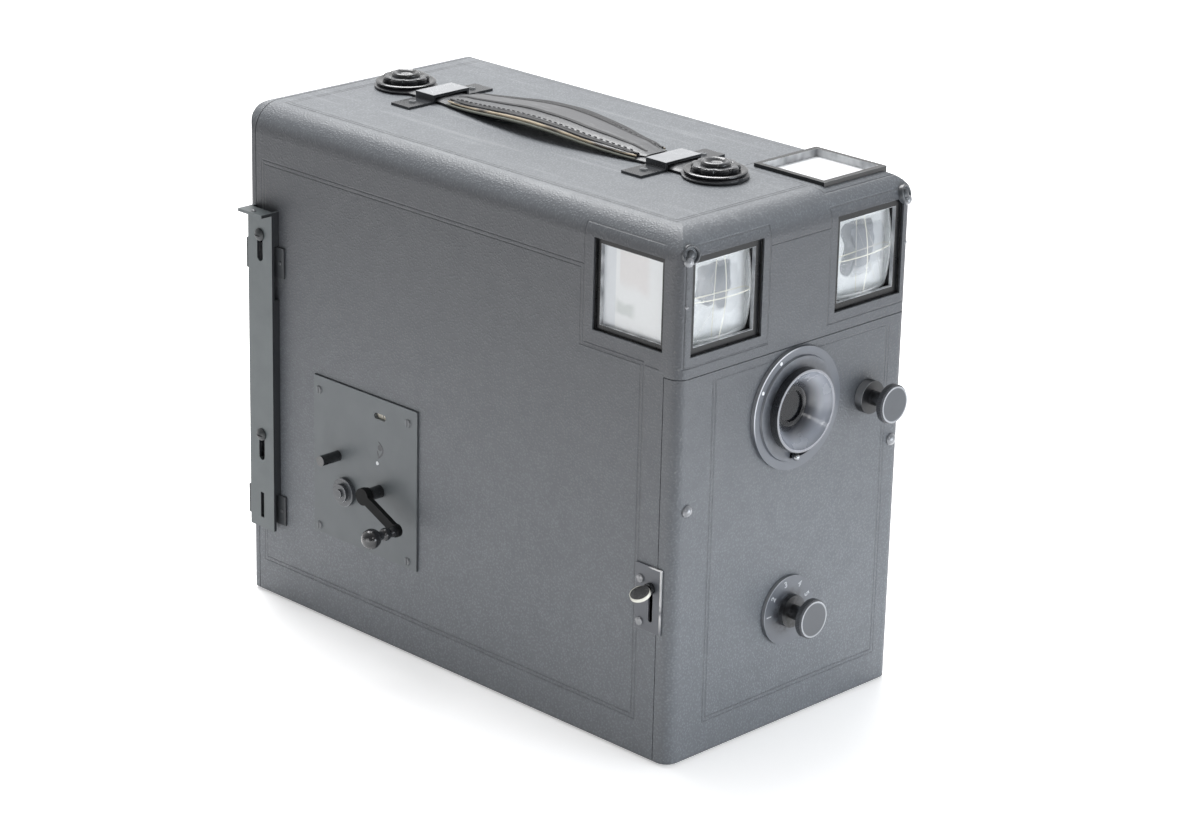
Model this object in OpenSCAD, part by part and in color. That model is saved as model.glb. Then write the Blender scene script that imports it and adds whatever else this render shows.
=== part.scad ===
// Detective camera: a leather-covered wooden box with two reflecting finders, a hinged front
// that carries the lens and shutter, a hinged back, and a plate magazine worked by a crank.
// The origin is the mouth of the tripod bush, at the middle of the base. The lens looks along -Y.

/* [Case] */
// Width over the leather
case_w = 122; // [118:1:130]
// Length from the front to the back
case_l = 229; // [225:1:245]
// Height, feet included
case_h = 200; // [198:1:212]
// Height of the feet
foot_h = 1.2; // [0.8:0.2:2.4]
// Radius of each foot
foot_r = 4; // [3:0.5:6]
// Thickness of the leather
skin = 0.8; // [0.6:0.1:1.2]
// Thickness of the wooden walls
wall = 6.5; // [6:0.25:7.5]
// Radius of the roll along the top edges
top_round = 11; // [9:0.5:12]
// Radius of the upright edges at the front
front_round = 5; // [3:0.5:6]
// Radius of the upright edges at the back
rear_round = 2.7; // [1.5:0.1:4]
// Gap round the front panel and the back door
seam = 0.3; // [0.2:0.05:0.5]

/* [Finders] */
// Width and height of the recess of a front window
win_w = 36; // [34:0.5:37]
// Side of the outer square of a viewing window
view_w = 34; // [32:0.5:35]
// Distance of the middle of the front windows below the top of the case
win_drop = 27.2; // [26:0.2:28]
// Distance of the middle of each window from the side of the case
win_side = 23.5; // [23:0.25:24.5]
// Depth of the windows' recesses
win_d = 3; // [2.4:0.2:3.4]
// Width of the black frame round a front glass
front_frame = 2.8; // [2:0.2:4]
// Width of the black frame round a viewing glass
view_frame = 2.2; // [1.6:0.2:3]
// Thickness of the window frames
frame_t = 1.5; // [1:0.1:1.8]
// Height of the top frame above the leather
top_frame_h = 1.4; // [0.6:0.2:2.4]
// Thickness of the finder boxes' sheet metal
box_t = 0.6; // [0.4:0.1:1]
// Thickness of the mirrors
mirror_t = 1.6; // [1:0.2:2.4]
// Radius of the curved front of the finder glasses
glass_curve = 55; // [50:1:80]

/* [Front panel] */
// Distance of the panel's upper edge below the windows
panel_drop = 7.8; // [6.8:0.2:9.8]
// Thickness of the panel over its leather
panel_t = 7; // [6.5:0.25:7.5]
// Distance of the lens axis below the panel's upper edge
lens_drop = 23.3; // [23:0.1:26]
// Radius of the round flange
flange_r = 23; // [22:0.1:23]
// Thickness of the flange
flange_t = 1.5; // [1:0.1:2]
// Outer radius of the lens hood
hood_r = 15.5; // [15:0.1:15.9]
// How far the hood stands out of the case
hood_out = 5.8; // [5:0.2:9]
// How far both front knobs stand out of the case
knob_out = 14; // [11:0.5:18]
// Radius of the front knobs
knob_r = 7.4; // [6:0.2:9]
// Thickness of the knobs' discs
knob_t = 2.6; // [1.6:0.2:4]
// Place of the shutter knob beside and below the lens axis
shutter_dx = 39.4; // [38.5:0.1:40]
shutter_dz = -4.8; // [-6:0.1:-3]
// Height of the numbered dial's axis
dial_z = 45.5; // [40:0.5:52]
// Radius of the numbered dial
dial_r = 13.2; // [11:0.2:15]
// Radius of the arbors that pass through the panel
arbor_r = 2; // [1.6:0.1:2.4]
// Turn of the numbered dial, five settings
dial_turn = 160; // [120:10:200]

/* [Latch of the front panel] */
// Height of the latch's pin at rest
latch_z = 67.8; // [64:0.2:72]
// Travel of the latch
latch_travel = 12; // [9:0.5:13]
// Radius of the latch's pin
latch_pin_r = 1; // [0.8:0.1:1.2]
// Length and width of the latch plate
latch_plate_h = 25; // [24:0.5:28]
latch_plate_w = 12.7; // [12.5:0.1:14]
// Radius of the thumb piece
paddle_r = 3.8; // [3:0.2:5]

/* [Handle] */
// Distance of the handle's middle behind the middle of the case
handle_y = 10; // [6:0.5:12]
// Distance from the handle's middle to each stud
stud_y = 82.3; // [80:0.1:86]
// Distance from the handle's middle to each bridge
bridge_y = 61.5; // [60:0.5:63]
// Width of the grip
grip_w = 28; // [22:0.5:34]
// Thickness of the strap at its ends
strap_t = 2.2; // [1.6:0.1:3]
// Extra thickness of the strap in the grip
grip_pad = 3; // [1.5:0.25:4]
// Height that the grip bows up
grip_bow = 3.2; // [1:0.2:6]
// Radius of the strap's round ends
strap_end_r = 12.5; // [11.9:0.1:13.5]
// Radius of the studs' lower discs
stud_r = 11.7; // [10:0.1:11.8]
// Half width of the strap under the bridges
neck_w = 8; // [6:0.25:8.5]

/* [Crank and mechanism] */
// Place of the crank's axis behind the middle of the case
crank_y = 38.2; // [37.5:0.1:39]
// Radius of the crank's shaft
shaft_r = 2.5; // [2.2:0.05:2.5]
// Length of the crank's arm between its axes
crank_arm_l = 20.2; // [16:0.2:20.2]
// Angle of the arm below the horizontal, towards the front
crank_angle = 24.7; // [0:0.1:60]
// How far the arm and the crank's handle stand out of the case
arm_out = 10; // [9:0.5:14]
handle_out = 25.4; // [24:0.2:30]
// Ball on the crank's handle
crank_ball_r = 3.9; // [3:0.1:4.5]
// Mechanism plate: length, height and thickness
mech_l = 58.5; // [58:0.5:62]
mech_h = 64; // [63.5:0.5:68]
mech_t = 1.6; // [1.4:0.1:1.8]
// Number of teeth of the pinion and of the counter wheel
pinion_n = 8; // [8:1:8]
wheel_n = 32; // [32:1:32]
// Distance between the crank's axis and the counter's axis
gear_d = 17.5; // [17.5:0.1:18]
// Push pin: radius, how far it stands out, and travel
pin_r = 2.1; // [1.6:0.1:2.1]
pin_out = 10; // [8:0.5:12]
pin_travel = 4; // [2:0.25:4]
// Locking knob's radius
lock_knob_r = 5.6; // [4.6:0.1:6.2]

/* [Plates and magazine] */
// Number of plates in the magazine
plate_n = 12; // [8:1:12]
// Glass plate: width, height and thickness
plate_w = 90; // [88:0.5:90]
plate_h = 120; // [118:0.5:120]
plate_t = 1.5; // [1.2:0.1:1.7]
// Sheet metal of the plate holders
sheath_t = 0.4; // [0.3:0.05:0.5]
// Distance from one plate holder to the next
plate_pitch = 3.5; // [3.3:0.1:3.6]
// Distance of the first plate holder behind the crank's axis
plate_gap = 6.3; // [6.2:0.1:7]
// Room between the plate holders and the ceiling
head_room = 7.4; // [6.6:0.1:8.6]
// Travel of the pusher plate
pusher_travel = 8; // [4:1:12]

/* [Back door and its lock] */
// Thickness of the back door over its leather
door_t = 4; // [3.4:0.2:5]
// Hasps: height above the base of the lower edge of each, and their own height
hasp_low = 32.5; // [31.5:0.5:34]
hasp_high = 134.4; // [133:0.2:135]
hasp_h = 12; // [10:0.5:12.5]
// Thickness of the hasps
hasp_t = 0.8; // [0.6:0.1:0.9]
// Reach of the hasps along the side, from the back
hasp_reach = 21.1; // [20:0.5:23]
// Lock bar: width, ends, and how far it stands out of the case
bar_w = 14; // [13:0.5:15]
bar_z0 = 29.8; // [28:0.2:30]
bar_z1 = 160.5; // [158:0.5:166]
bar_out = 3.7; // [3.6:0.1:5]
// Thickness of the lock bar's metal
bar_t = 1.2; // [0.8:0.1:1.2]
// Travel of the lock bar
bar_travel = 9; // [7:0.5:9]
// Heights of the lock bar's two screws
bar_screw_low = 68.8; // [64:0.2:80]
bar_screw_high = 150.5; // [150:0.1:152]

/* [Hinges] */
// Radius of the hinges' barrels and of their pins
hinge_r = 1.9; // [1.6:0.1:2.2]
hinge_pin_r = 0.8; // [0.6:0.1:1]
// Height of each hinge
hinge_h = 30; // [24:1:36]
// Width and thickness of a leaf
leaf_w = 6; // [5:0.25:6.4]
leaf_t = 0.9; // [0.7:0.05:1]

/* [Tripod bush] */
// Radius of the threaded hole's wall
bush_r = 4; // [3:0.1:4.8]
// Radius of the bush's plate
bush_plate_r = 16; // [14:0.5:20]

/* [Hidden] */
$fn = 64;
run = 0.05;   // running clearance of a shaft in its hole
gap = 0.3;    // clearance between pieces that pass each other
eps = 1;      // overshoot of a cutting shape
hair = 0.02;  // soldered or riveted joint between two solids of one piece

// Faces of the case: outer leather, wood and hollow
xo = case_w / 2;
yo = case_l / 2;
xw = xo - skin;
xi = xw - wall;
zw = foot_h + skin;
zi = zw + wall;
zwt = case_h - skin;
zit = zwt - wall;
panel_back = -yo + panel_t;
front_rim = panel_back + seam;
door_face = yo - door_t;
rear_rim = door_face - seam;

// Heights from the top down: windows, panel, lens and, by the plates' place, the crank
win_z = case_h - win_drop;
win_x = xo - win_side;
panel_h = win_z - win_w / 2 - panel_drop;
lens_z = panel_h - lens_drop;
sheath_w = plate_w + 2 * sheath_t + 0.4;
sheath_h = plate_h + 2 * sheath_t + 0.4;
plate_z = zit - head_room - sheath_h;
shelf_z = plate_z - gap;
crank_z = shelf_z - 0.6;

// Finders: each box fills the corner between the front wall, the side wall and the ceiling
box_x = win_x - win_w / 2;
box_y = front_rim + win_w;
box_z = win_z - win_w / 2 - 1;
view_y = front_rim + win_w / 2;
view_hole = view_w - 2 * view_frame;
front_hole = win_w - 2 * front_frame;
glass_lip = 0.6;

// Handle
stud_ys = [handle_y - stud_y, handle_y + stud_y];
bridge_ys = [handle_y - bridge_y, handle_y + bridge_y];
bridge_foot = 22;
bridge_screw = 15.5;
bridge_t = 1;
bridge_w = 10;
stud_shank = 2.2;

// Mechanism
mech_y0 = crank_y - 20.7;
mech_y1 = mech_y0 + mech_l;
mech_z0 = crank_z - 26.7;
mech_z1 = mech_z0 + mech_h;
mech_screw_ys = [mech_y0 + 5, mech_y1 - 3];
mech_screw_zs = [mech_z0 + 2.7, mech_z1 - 5.5];
pocket_y = [mech_y0 + 4, mech_y1 - 5];
pocket_z = [mech_z0 + 7.5, mech_z1 - 4];
plate_face = -xw - mech_t;
counter_z = crank_z + gear_d;
counter_r = gear_d * wheel_n / (wheel_n + pinion_n);
pinion_r = gear_d - counter_r;
pin_y = crank_y + 24;
pin_z = crank_z + 7.7;
lock_y = crank_y + 19.3;
lock_z = crank_z - 5.6;
arm_end = [crank_y - crank_arm_l * cos(crank_angle), crank_z - crank_arm_l * sin(crank_angle)];
window_r = 12.5;

// Plates: they stand on the magazine's shelf, the first one just behind the fingers of the drum
sheath_d = plate_pitch - 0.6;
stack_y = crank_y + plate_gap;
stack_end = stack_y + plate_n * plate_pitch - 0.6;
mag_x = sheath_w / 2 + 0.5;
mag_t = 1;
pusher_y = stack_end + gap;
pusher_t = 1.2;
spring_y = pusher_y + pusher_t + gap;
spring_rise = door_face - spring_y;
spring_half = 45;
spring_t = 0.6;
spring_r = (spring_half * spring_half + spring_rise * spring_rise) / (2 * spring_rise);
spring_z = plate_z + plate_h / 2;

// Lock bar and hasps
bar_y0 = rear_rim - bar_w + 0.8;
bar_y1 = bar_y0 + bar_w;
bar_mid = (bar_y0 + bar_y1) / 2;
bar_face = -xo - bar_out;
bar_inner = bar_face + bar_t;
hasp_in = -xo - 0.15;
hasp_zs = [hasp_low, hasp_high];
bar_screw_zs = [bar_screw_low, bar_screw_high];
bar_screw_r = 1.6;
catch_r = 0.9;

// Latch
latch_y = front_rim + 2.2;
latch_plate_y0 = front_rim - 2.8;
latch_plate_z0 = latch_z - 16.9;
latch_plate_t = 0.8;
latch_screw_y = front_rim + 7.3;
latch_screw_zs = [latch_plate_z0 + 2.9, latch_plate_z0 + latch_plate_h - 5.7];
latch_pocket_y = front_rim + 5.9;
tongue_x = [-xw + 0.6, -xw + 2.2];

// Hinges
hinge_x = xo + hinge_r + 0.15;
hinge_ys = [panel_back + seam / 2, door_face - seam / 2];
front_hinge_zs = [18, panel_h - 22 - hinge_h];
back_hinge_zs = [22, case_h - 24 - hinge_h];

// Lens, iris and shutter, all measured from the panel's front face
face = -yo;
bore_r = 19.5;
barrel_r = 13.9;
post_r = 17.4;
iris_rest = -99;
iris_turn = 60;
iris_ring_y = panel_back - 2.1;
housing_back = panel_back + 2.3;
blade_n = 4;
blade_pitch = 0.5;
blade_t = 0.35;
blade_y0 = iris_ring_y + 1.25;
pivot_r = 16.6;
cell_end = housing_back + 4.4;
blade_y = cell_end + 0.5;
shutter_x = shutter_dx;
shutter_z = lens_z + shutter_dz;
shutter_plate_y = blade_y + 1;
shutter_posts = [[44, lens_z + 12.3], [44, lens_z - 21.7], [-18, lens_z + 17.3], [-19, lens_z - 11.7]];
stud_x = xo - 6.2;
stud_z = lens_z - 25.7;

// Simple solids between two stated faces
module block(x0, x1, y0, y1, z0, z1) {
    translate([x0, y0, z0]) cube([x1 - x0, y1 - y0, z1 - z0]);
}

module rod_x(x0, x1, y, z, r) {
    translate([x0, y, z]) rotate([0, 90, 0]) cylinder(h = x1 - x0, r = r);
}

module rod_y(x, y0, y1, z, r) {
    translate([x, y0, z]) rotate([-90, 0, 0]) cylinder(h = y1 - y0, r = r);
}

module rod_z(x, y, z0, z1, r) {
    translate([x, y, z0]) cylinder(h = z1 - z0, r = r);
}

// What lies outside the round of a corner at c, towards the direction d
module corner_bit(c, d, r) {
    difference() {
        translate([min(c[0], c[0] + d[0] * (r + eps)), min(c[1], c[1] + d[1] * (r + eps))])
            square(r + eps);
        translate(c) circle(r = r);
    }
}

// The form of the whole case, drawn in by g from the outer leather
module case_form(g) {
    x = xo - g;
    y = yo - g;
    top = case_h - g;
    low = foot_h + g;
    rt = top_round - g;
    rf = front_round - g;
    rr = rear_round - g;
    intersection() {
        // seen from the front: both upper edges are round
        translate([0, y, 0]) rotate([90, 0, 0]) linear_extrude(height = 2 * y)
            difference() {
                translate([-x, low]) square([2 * x, top - low]);
                for (s = [-1, 1])
                    corner_bit([s * (x - rt), top - rt], [s, 1], rt);
            }
        // seen from the side: the front upper edge is as round, the rear one less so
        rotate([90, 0, 90]) translate([0, 0, -x - eps]) linear_extrude(height = 2 * x + 2 * eps)
            difference() {
                translate([-y, low]) square([2 * y, top - low]);
                corner_bit([-y + rt, top - rt], [-1, 1], rt);
                corner_bit([y - rr, top - rr], [1, 1], rr);
            }
        // seen from above: the upright edges
        translate([0, 0, low - eps]) linear_extrude(height = top - low + 2 * eps)
            difference() {
                translate([-x, -y]) square([2 * x, 2 * y]);
                for (s = [-1, 1]) {
                    corner_bit([s * (x - rf), -y + rf], [s, -1], rf);
                    corner_bit([s * (x - rr), y - rr], [s, 1], rr);
                }
            }
    }
}

// Cuts shared by the wood and the leather of the case
module window_cuts() {
    for (s = [-1, 1]) {
        // front windows: a recess, then a hole for the glass
        block(s * win_x - win_w / 2, s * win_x + win_w / 2, -yo - eps, -yo + win_d,
              win_z - win_w / 2, win_z + win_w / 2);
        block(s * win_x - front_hole / 2 - glass_lip, s * win_x + front_hole / 2 + glass_lip,
              -yo, front_rim + eps, win_z - front_hole / 2 - glass_lip, win_z + front_hole / 2 + glass_lip);
    }
    // viewing window on the left side
    block(-xo - eps, -xo + win_d, view_y - view_w / 2, view_y + view_w / 2,
          win_z - view_w / 2, win_z + view_w / 2);
    block(-xo, -xi + eps, view_y - view_hole / 2 - glass_lip, view_y + view_hole / 2 + glass_lip,
          win_z - view_hole / 2 - glass_lip, win_z + view_hole / 2 + glass_lip);
    // viewing window in the top
    block(win_x - view_w / 2, win_x + view_w / 2, view_y - view_w / 2, view_y + view_w / 2,
          case_h - frame_t, case_h + eps);
    block(win_x - view_hole / 2 - glass_lip, win_x + view_hole / 2 + glass_lip,
          view_y - view_hole / 2 - glass_lip, view_y + view_hole / 2 + glass_lip, zit - eps, case_h);
}

module latch_pocket() {
    block(-xo - eps, -xw + 4, front_rim - eps, latch_pocket_y,
          latch_z - latch_travel - 4.7, latch_z + latch_pin_r + 3);
}

// Screws of the case: each has a place, an outward direction and a head height
module each_small_screw() {
    for (y = mech_screw_ys, z = mech_screw_zs)
        translate([plate_face, y, z]) rotate([0, -90, 0]) children();
    for (z = latch_screw_zs)
        translate([-xo - latch_plate_t, latch_screw_y, z]) rotate([0, -90, 0]) children();
    for (y = bridge_ys, s = [-1, 1])
        translate([s * bridge_screw, y, case_h + bridge_t]) children();
    for (a = [90, 210, 330])
        rotate([0, 0, a]) translate([bush_plate_r - 4.5, 0, foot_h / 2]) rotate([180, 0, 0]) children();
}

screw_r = 0.9;
screw_head_r = 1.7;

module small_screw_holes() {
    each_small_screw() translate([0, 0, -4.8]) cylinder(h = 4.8 + eps, r = screw_r);
}

module screws() {
    lock_bar_screws();
    color("silver") each_small_screw() {
        translate([0, 0, -4.8]) cylinder(h = 4.8, r = screw_r);
        difference() {
            cylinder(h = 0.55, r1 = screw_head_r, r2 = screw_head_r - 0.35);
            translate([-screw_head_r - eps, -0.2, 0.3]) cube([2 * screw_head_r + 2 * eps, 0.4, 1]);
        }
    }
}

module hinge_rebates(side) {
    // side -1: the part in front of the seam, 1: the part behind it
    for (z = front_hinge_zs)
        leaf_space(hinge_ys[0], side, z);
    for (z = back_hinge_zs)
        leaf_space(hinge_ys[1], side, z);
}

module leaf_space(y, side, z) {
    translate([xo - leaf_w, side > 0 ? y : y - leaf_t - run, z])
        cube([leaf_w + eps, leaf_t + run, hinge_h]);
}

module case_shell() {
    color("saddlebrown") difference() {
        case_form(skin);
        block(-xo, xo, rear_rim, yo + eps, 0, case_h + eps);
        block(-xi, xi, front_rim, yo, zi, zit);
        block(-xo, xo, -yo, yo, 0, zi);
        block(-xo, xo, -yo - eps, front_rim, 0, panel_h + seam + skin);
        window_cuts();
        latch_pocket();
        nail_holes();
        small_screw_holes();
        // hinge leaves let into the rims
        for (z = front_hinge_zs)
            leaf_space(hinge_ys[0], 1, z);
        for (z = back_hinge_zs)
            leaf_space(hinge_ys[1], -1, z);
        // pocket of the mechanism, with wood left round the screws
        difference() {
            block(-xo - eps, -xi + eps, pocket_y[0], pocket_y[1], pocket_z[0], pocket_z[1]);
            for (y = mech_screw_ys, z = mech_screw_zs)
                rod_x(-xo - 2 * eps, -xi + 2 * eps, y, z, 3);
        }
        for (y = stud_ys)
            rod_z(0, y, case_h - 6, case_h + eps, stud_shank);
        for (z = bar_screw_zs)
            rod_x(-xo - eps, -xo + 6, bar_mid, z, bar_screw_r);
    }
}

// The board under the case walls, with the hole for the tripod bush
module base_board() {
    color("saddlebrown") difference() {
        intersection() {
            case_form(skin);
            block(-xo, xo, front_rim, rear_rim, 0, zi);
        }
        small_screw_holes();
        rod_z(0, 0, -eps, zi + eps, bush_r + 3.3);
    }
}

module case_leather() {
    color("dimgray") difference() {
        case_form(0);
        difference() {
            case_form(skin);
            block(-xo, xo, -yo - eps, front_rim, 0, panel_h + seam + skin);
        }
        block(-xo - eps, xo + eps, rear_rim, yo + eps, 0, case_h + eps);
        block(-xo - eps, xo + eps, -yo - eps, front_rim, 0, panel_h + seam);
        window_cuts();
        latch_pocket();
        nail_holes();
        small_screw_holes();
        for (z = front_hinge_zs)
            leaf_space(hinge_ys[0], 1, z);
        for (z = back_hinge_zs)
            leaf_space(hinge_ys[1], -1, z);
        block(-xo - eps, -xw + eps, mech_y0 - gap, mech_y1 + gap, mech_z0 - gap, mech_z1 + gap);
        for (y = stud_ys)
            rod_z(0, y, case_h - 6, case_h + eps, stud_shank);
        for (z = bar_screw_zs)
            rod_x(-xo - eps, -xo + 6, bar_mid, z, bar_screw_r);
        rod_z(0, 0, -eps, zi + eps, bush_r + 3.3);
        foot_rods(0);
    }
}

module foot_rods(z0) {
    for (x = [-1, 1] * (xo - 9), y = [front_rim + 8, rear_rim - 8])
        rod_z(x, y, z0, zw, foot_r);
}

module feet() {
    color("dimgray") foot_rods(0);
}

module tripod_bush() {
    color("goldenrod") difference() {
        union() {
            rod_z(0, 0, 0, foot_h, bush_plate_r);
            rod_z(0, 0, 0, zi, bush_r + 3.3);
        }
        rod_z(0, 0, -eps, zi + eps, bush_r);
        for (a = [90, 210, 330])
            rotate([0, 0, a]) {
                rod_z(bush_plate_r - 4.5, 0, -eps, foot_h / 2, screw_head_r);
                rod_z(bush_plate_r - 4.5, 0, -eps, foot_h + eps, screw_r);
            }
    }
}

// Finder boxes: the left one is open to the front and the side, the right one to the front and the top
module finder_box(side) {
    x0 = side < 0 ? -xi : box_x;
    x1 = side < 0 ? -box_x : xi;
    difference() {
        block(x0, x1, front_rim, box_y, box_z, zit);
        block(side < 0 ? x0 - eps : x0 + box_t, x1 - box_t, front_rim - eps, box_y - box_t,
              box_z + box_t, side < 0 ? zit - box_t : zit + eps);
    }
}

module finder_boxes() {
    color("dimgray") {
        finder_box(-1);
        finder_box(1);
    }
}

module square_ring(outer, inner, t) {
    linear_extrude(height = t) difference() {
        square(outer, center = true);
        square(inner, center = true);
    }
}

module finder_front_frames() {
    color("black")
        for (s = [-1, 1])
            translate([s * win_x, -yo + win_d, win_z]) rotate([90, 0, 0])
                square_ring(win_w, front_hole, frame_t);
}

module side_viewing_frame() {
    color("black") translate([-xo + win_d, view_y, win_z]) rotate([0, -90, 0])
        square_ring(view_w, view_hole, frame_t);
}

module top_viewing_frame() {
    color("black") translate([win_x, view_y, case_h - frame_t])
        square_ring(view_w, view_hole, frame_t + top_frame_h);
}

// Domed nails that hold the finders, beside the front windows
module frame_nails() {
    color("silver")
        for (s = [-1, 1]) {
            nail(s * (win_x + win_w / 2 + 2), win_z + win_w / 2 - 1, 1.9);
            nail(s * (win_x + win_w / 2 + 2.2), win_z + 0.8, 0.8);
        }
}

module nail(x, z, r) {
    rod_y(x, -yo - 0.2, -yo + 5, z, r * 0.45);
    intersection() {
        rod_y(x, -yo - r, -yo + 0.7, z, r);
        translate([x, -yo + 0.7, z]) sphere(r = r * 1.12);
    }
}

module nail_holes() {
    for (s = [-1, 1]) {
        rod_y(s * (win_x + win_w / 2 + 2), -yo - eps, -yo + 5, win_z + win_w / 2 - 1, 1.9 * 0.45);
        rod_y(s * (win_x + win_w / 2 + 2.2), -yo - eps, -yo + 5, win_z + 0.8, 0.8 * 0.45);
        rod_y(s * (win_x + win_w / 2 + 2), -yo - eps, -yo + 0.7, win_z + win_w / 2 - 1, 1.9);
        rod_y(s * (win_x + win_w / 2 + 2.2), -yo - eps, -yo + 0.7, win_z + 0.8, 0.8);
    }
}

// Square glasses with a curved front, let into the wood behind the frames
module finder_front_glasses() {
    side = front_hole + 2 * glass_lip - 0.2;
    apex = -yo + win_d - glass_curve + sqrt(pow(glass_curve, 2) - pow(front_hole / 2 - 0.2, 2));
    color("lightcyan")
        for (s = [-1, 1])
            intersection() {
                translate([s * win_x, apex + glass_curve, win_z]) sphere(r = glass_curve, $fn = 128);
                block(s * win_x - side / 2, s * win_x + side / 2, apex - eps, -yo + win_d + 3.4,
                      win_z - side / 2, win_z + side / 2);
            }
}

module viewing_glasses() {
    side = view_hole + 2 * glass_lip - 0.2;
    color("white") {
        translate([-xo + win_d + 2, view_y, win_z]) rotate([0, -90, 0])
            linear_extrude(height = 2) square(side, center = true);
        translate([win_x, view_y, case_h - frame_t - 2])
            linear_extrude(height = 2) square(side, center = true);
    }
}

module finder_mirrors() {
    mid_x = (box_x + xi) / 2;
    half = (win_w - 2 * box_t) / 2 - mirror_t / 2;
    long = 2 * half * sqrt(2) - 1.5 * mirror_t;
    color("lightsteelblue") {
        // the right mirror turns the view up
        translate([mid_x, view_y, win_z]) rotate([45, 0, 0])
            translate([-(xi - box_x) / 2 + box_t + 0.1, -long / 2, -mirror_t / 2])
                cube([xi - box_x - 2 * box_t - 0.2, long, mirror_t]);
        // the left mirror turns the view to the left side
        translate([-mid_x, view_y, box_z + box_t + 0.1]) rotate([0, 0, 45])
            translate([-mirror_t / 2, -long / 2 + 1, 0])
                cube([mirror_t, long - 2, zit - box_z - 2 * box_t - 0.2]);
    }
}

// Handle: the strap's outline from above, its side view, and the overlap of the two
function grip_share(t) = t > bridge_y - 6 ? 0 : pow(cos(90 * t / (bridge_y - 6)), 2);
strap_steps = 14;

module strap_plan() {
    side = [for (i = [-strap_steps : strap_steps])
        let (t = i / strap_steps * (bridge_y - 6))
            [neck_w + (grip_w / 2 - neck_w) * pow(grip_share(abs(t)), 0.45), t]];
    polygon(concat(side, [for (i = [len(side) - 1 : -1 : 0]) [-side[i][0], side[i][1]]]));
    square([2 * neck_w, 2 * stud_y], center = true);
    for (s = [-1, 1])
        translate([0, s * stud_y]) circle(r = strap_end_r);
}

module strap_side() {
    ends = stud_y + strap_end_r + eps;
    low = [for (i = [-strap_steps : strap_steps])
        let (t = i / strap_steps * (bridge_y - 6)) [t, grip_bow * grip_share(abs(t))]];
    high = [for (p = low) [p[0], p[1] + strap_t + grip_pad * pow(grip_share(abs(p[0])), 0.6)]];
    polygon(concat([[-ends, strap_t], [-ends, 0]], low, [[ends, 0], [ends, strap_t]],
                   [for (i = [len(high) - 1 : -1 : 0]) high[i]]));
}

module handle_strap() {
    color("black") translate([0, handle_y, case_h]) difference() {
        intersection() {
            linear_extrude(height = strap_t + grip_pad + grip_bow + eps) strap_plan();
            rotate([90, 0, 90]) translate([0, 0, -grip_w]) linear_extrude(height = 2 * grip_w)
                strap_side();
        }
        // slots that let the strap slide on its studs when the grip is lifted
        for (s = [-1, 1])
            translate([0, s * (stud_y - 1.5), -eps]) linear_extrude(height = strap_t + 2 * eps) {
                square([2 * stud_shank + 0.6, 6], center = true);
                for (e = [-3, 3])
                    translate([0, e]) circle(r = stud_shank + 0.3);
            }
    }
}

module handle_studs() {
    z = case_h + strap_t;
    color("dimgray")
        for (y = stud_ys) {
            rod_z(0, y, case_h - 6, z + 1, stud_shank);
            translate([0, y, z]) cylinder(h = 0.9, r1 = stud_r, r2 = stud_r - 0.5);
            translate([0, y, z + 0.9]) cylinder(h = 1.3, r1 = 8.2, r2 = 7.4);
            translate([0, y, z + 2.2]) cylinder(h = 0.8, r = 6);
            translate([0, y, z + 3]) cylinder(h = 1.1, r1 = 4.4, r2 = 3.6);
        }
}

module handle_bridges() {
    rise = strap_t + gap;
    in_x = neck_w + gap;
    color("dimgray")
        for (y = bridge_ys)
            translate([0, y + bridge_w / 2, case_h]) rotate([90, 0, 0])
                difference() {
                    linear_extrude(height = bridge_w) {
                        translate([-in_x - bridge_t, rise]) square([2 * in_x + 2 * bridge_t, bridge_t]);
                        for (s = [-1, 1]) {
                            translate([s * (in_x + bridge_t / 2) - bridge_t / 2, 0])
                                square([bridge_t, rise + bridge_t]);
                            translate([s > 0 ? in_x : -bridge_foot, 0]) square([bridge_foot - in_x, bridge_t]);
                        }
                    }
                    for (s = [-1, 1])
                        translate([s * bridge_screw, -eps, bridge_w / 2]) rotate([-90, 0, 0])
                            cylinder(h = 3, r = screw_r);
                }
}

// Mechanism between the outer plate and the back plate, in a pocket of the left wall
module mechanism_plate() {
    color("slategray") difference() {
        block(plate_face, -xw, mech_y0, mech_y1, mech_z0, mech_z1);
        small_screw_holes();
        rod_x(-xo - eps, -xi, crank_y, crank_z, shaft_r + run);
        rod_x(-xo - eps, -xi, pin_y, pin_z, pin_r + run);
        rod_x(-xo - eps, -xi, lock_y, lock_z, 1.6 + run);
        rod_x(-xo - eps, -xi, crank_y, counter_z, 1.2);
        // slot that shows the counter
        translate([-xo - eps, crank_y, counter_z + window_r]) rotate([0, 90, 0])
            linear_extrude(height = 5) {
                square([2.4, 4.2], center = true);
                for (s = [-1, 1])
                    translate([0, s * 2.1]) circle(r = 1.2);
            }
    }
}

module mechanism_back_plate() {
    in_x = -xi;
    color("goldenrod") difference() {
        union() {
            block(in_x, in_x + 1, mech_y0 + 1, mech_y1 - 1, mech_z0 + 3, mech_z1 - 1);
            // post of the counter wheel, riveted into the outer plate
            rod_x(plate_face, in_x + 0.5, crank_y, counter_z, 1.2);
            // pillars between the plates
            for (p = [[pocket_y[0] + 2.2, pocket_z[0] + 2.2], [pocket_y[1] - 2.2, pocket_z[0] + 2.2],
                      [pocket_y[1] - 2.2, pocket_z[1] - 6]])
                rod_x(-xw, in_x + 0.5, p[0], p[1], 1.8);
        }
        rod_x(in_x - eps, in_x + 2, crank_y, crank_z, shaft_r + run);
        rod_x(in_x - eps, in_x + 2, pin_y, pin_z, 1.5 + run);
    }
}

function tooth(a, r, t) = let (h = t / 2 / r * 180 / PI)
    [[r * cos(a - h), r * sin(a - h)], [r * cos(a + h), r * sin(a + h)]];

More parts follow.
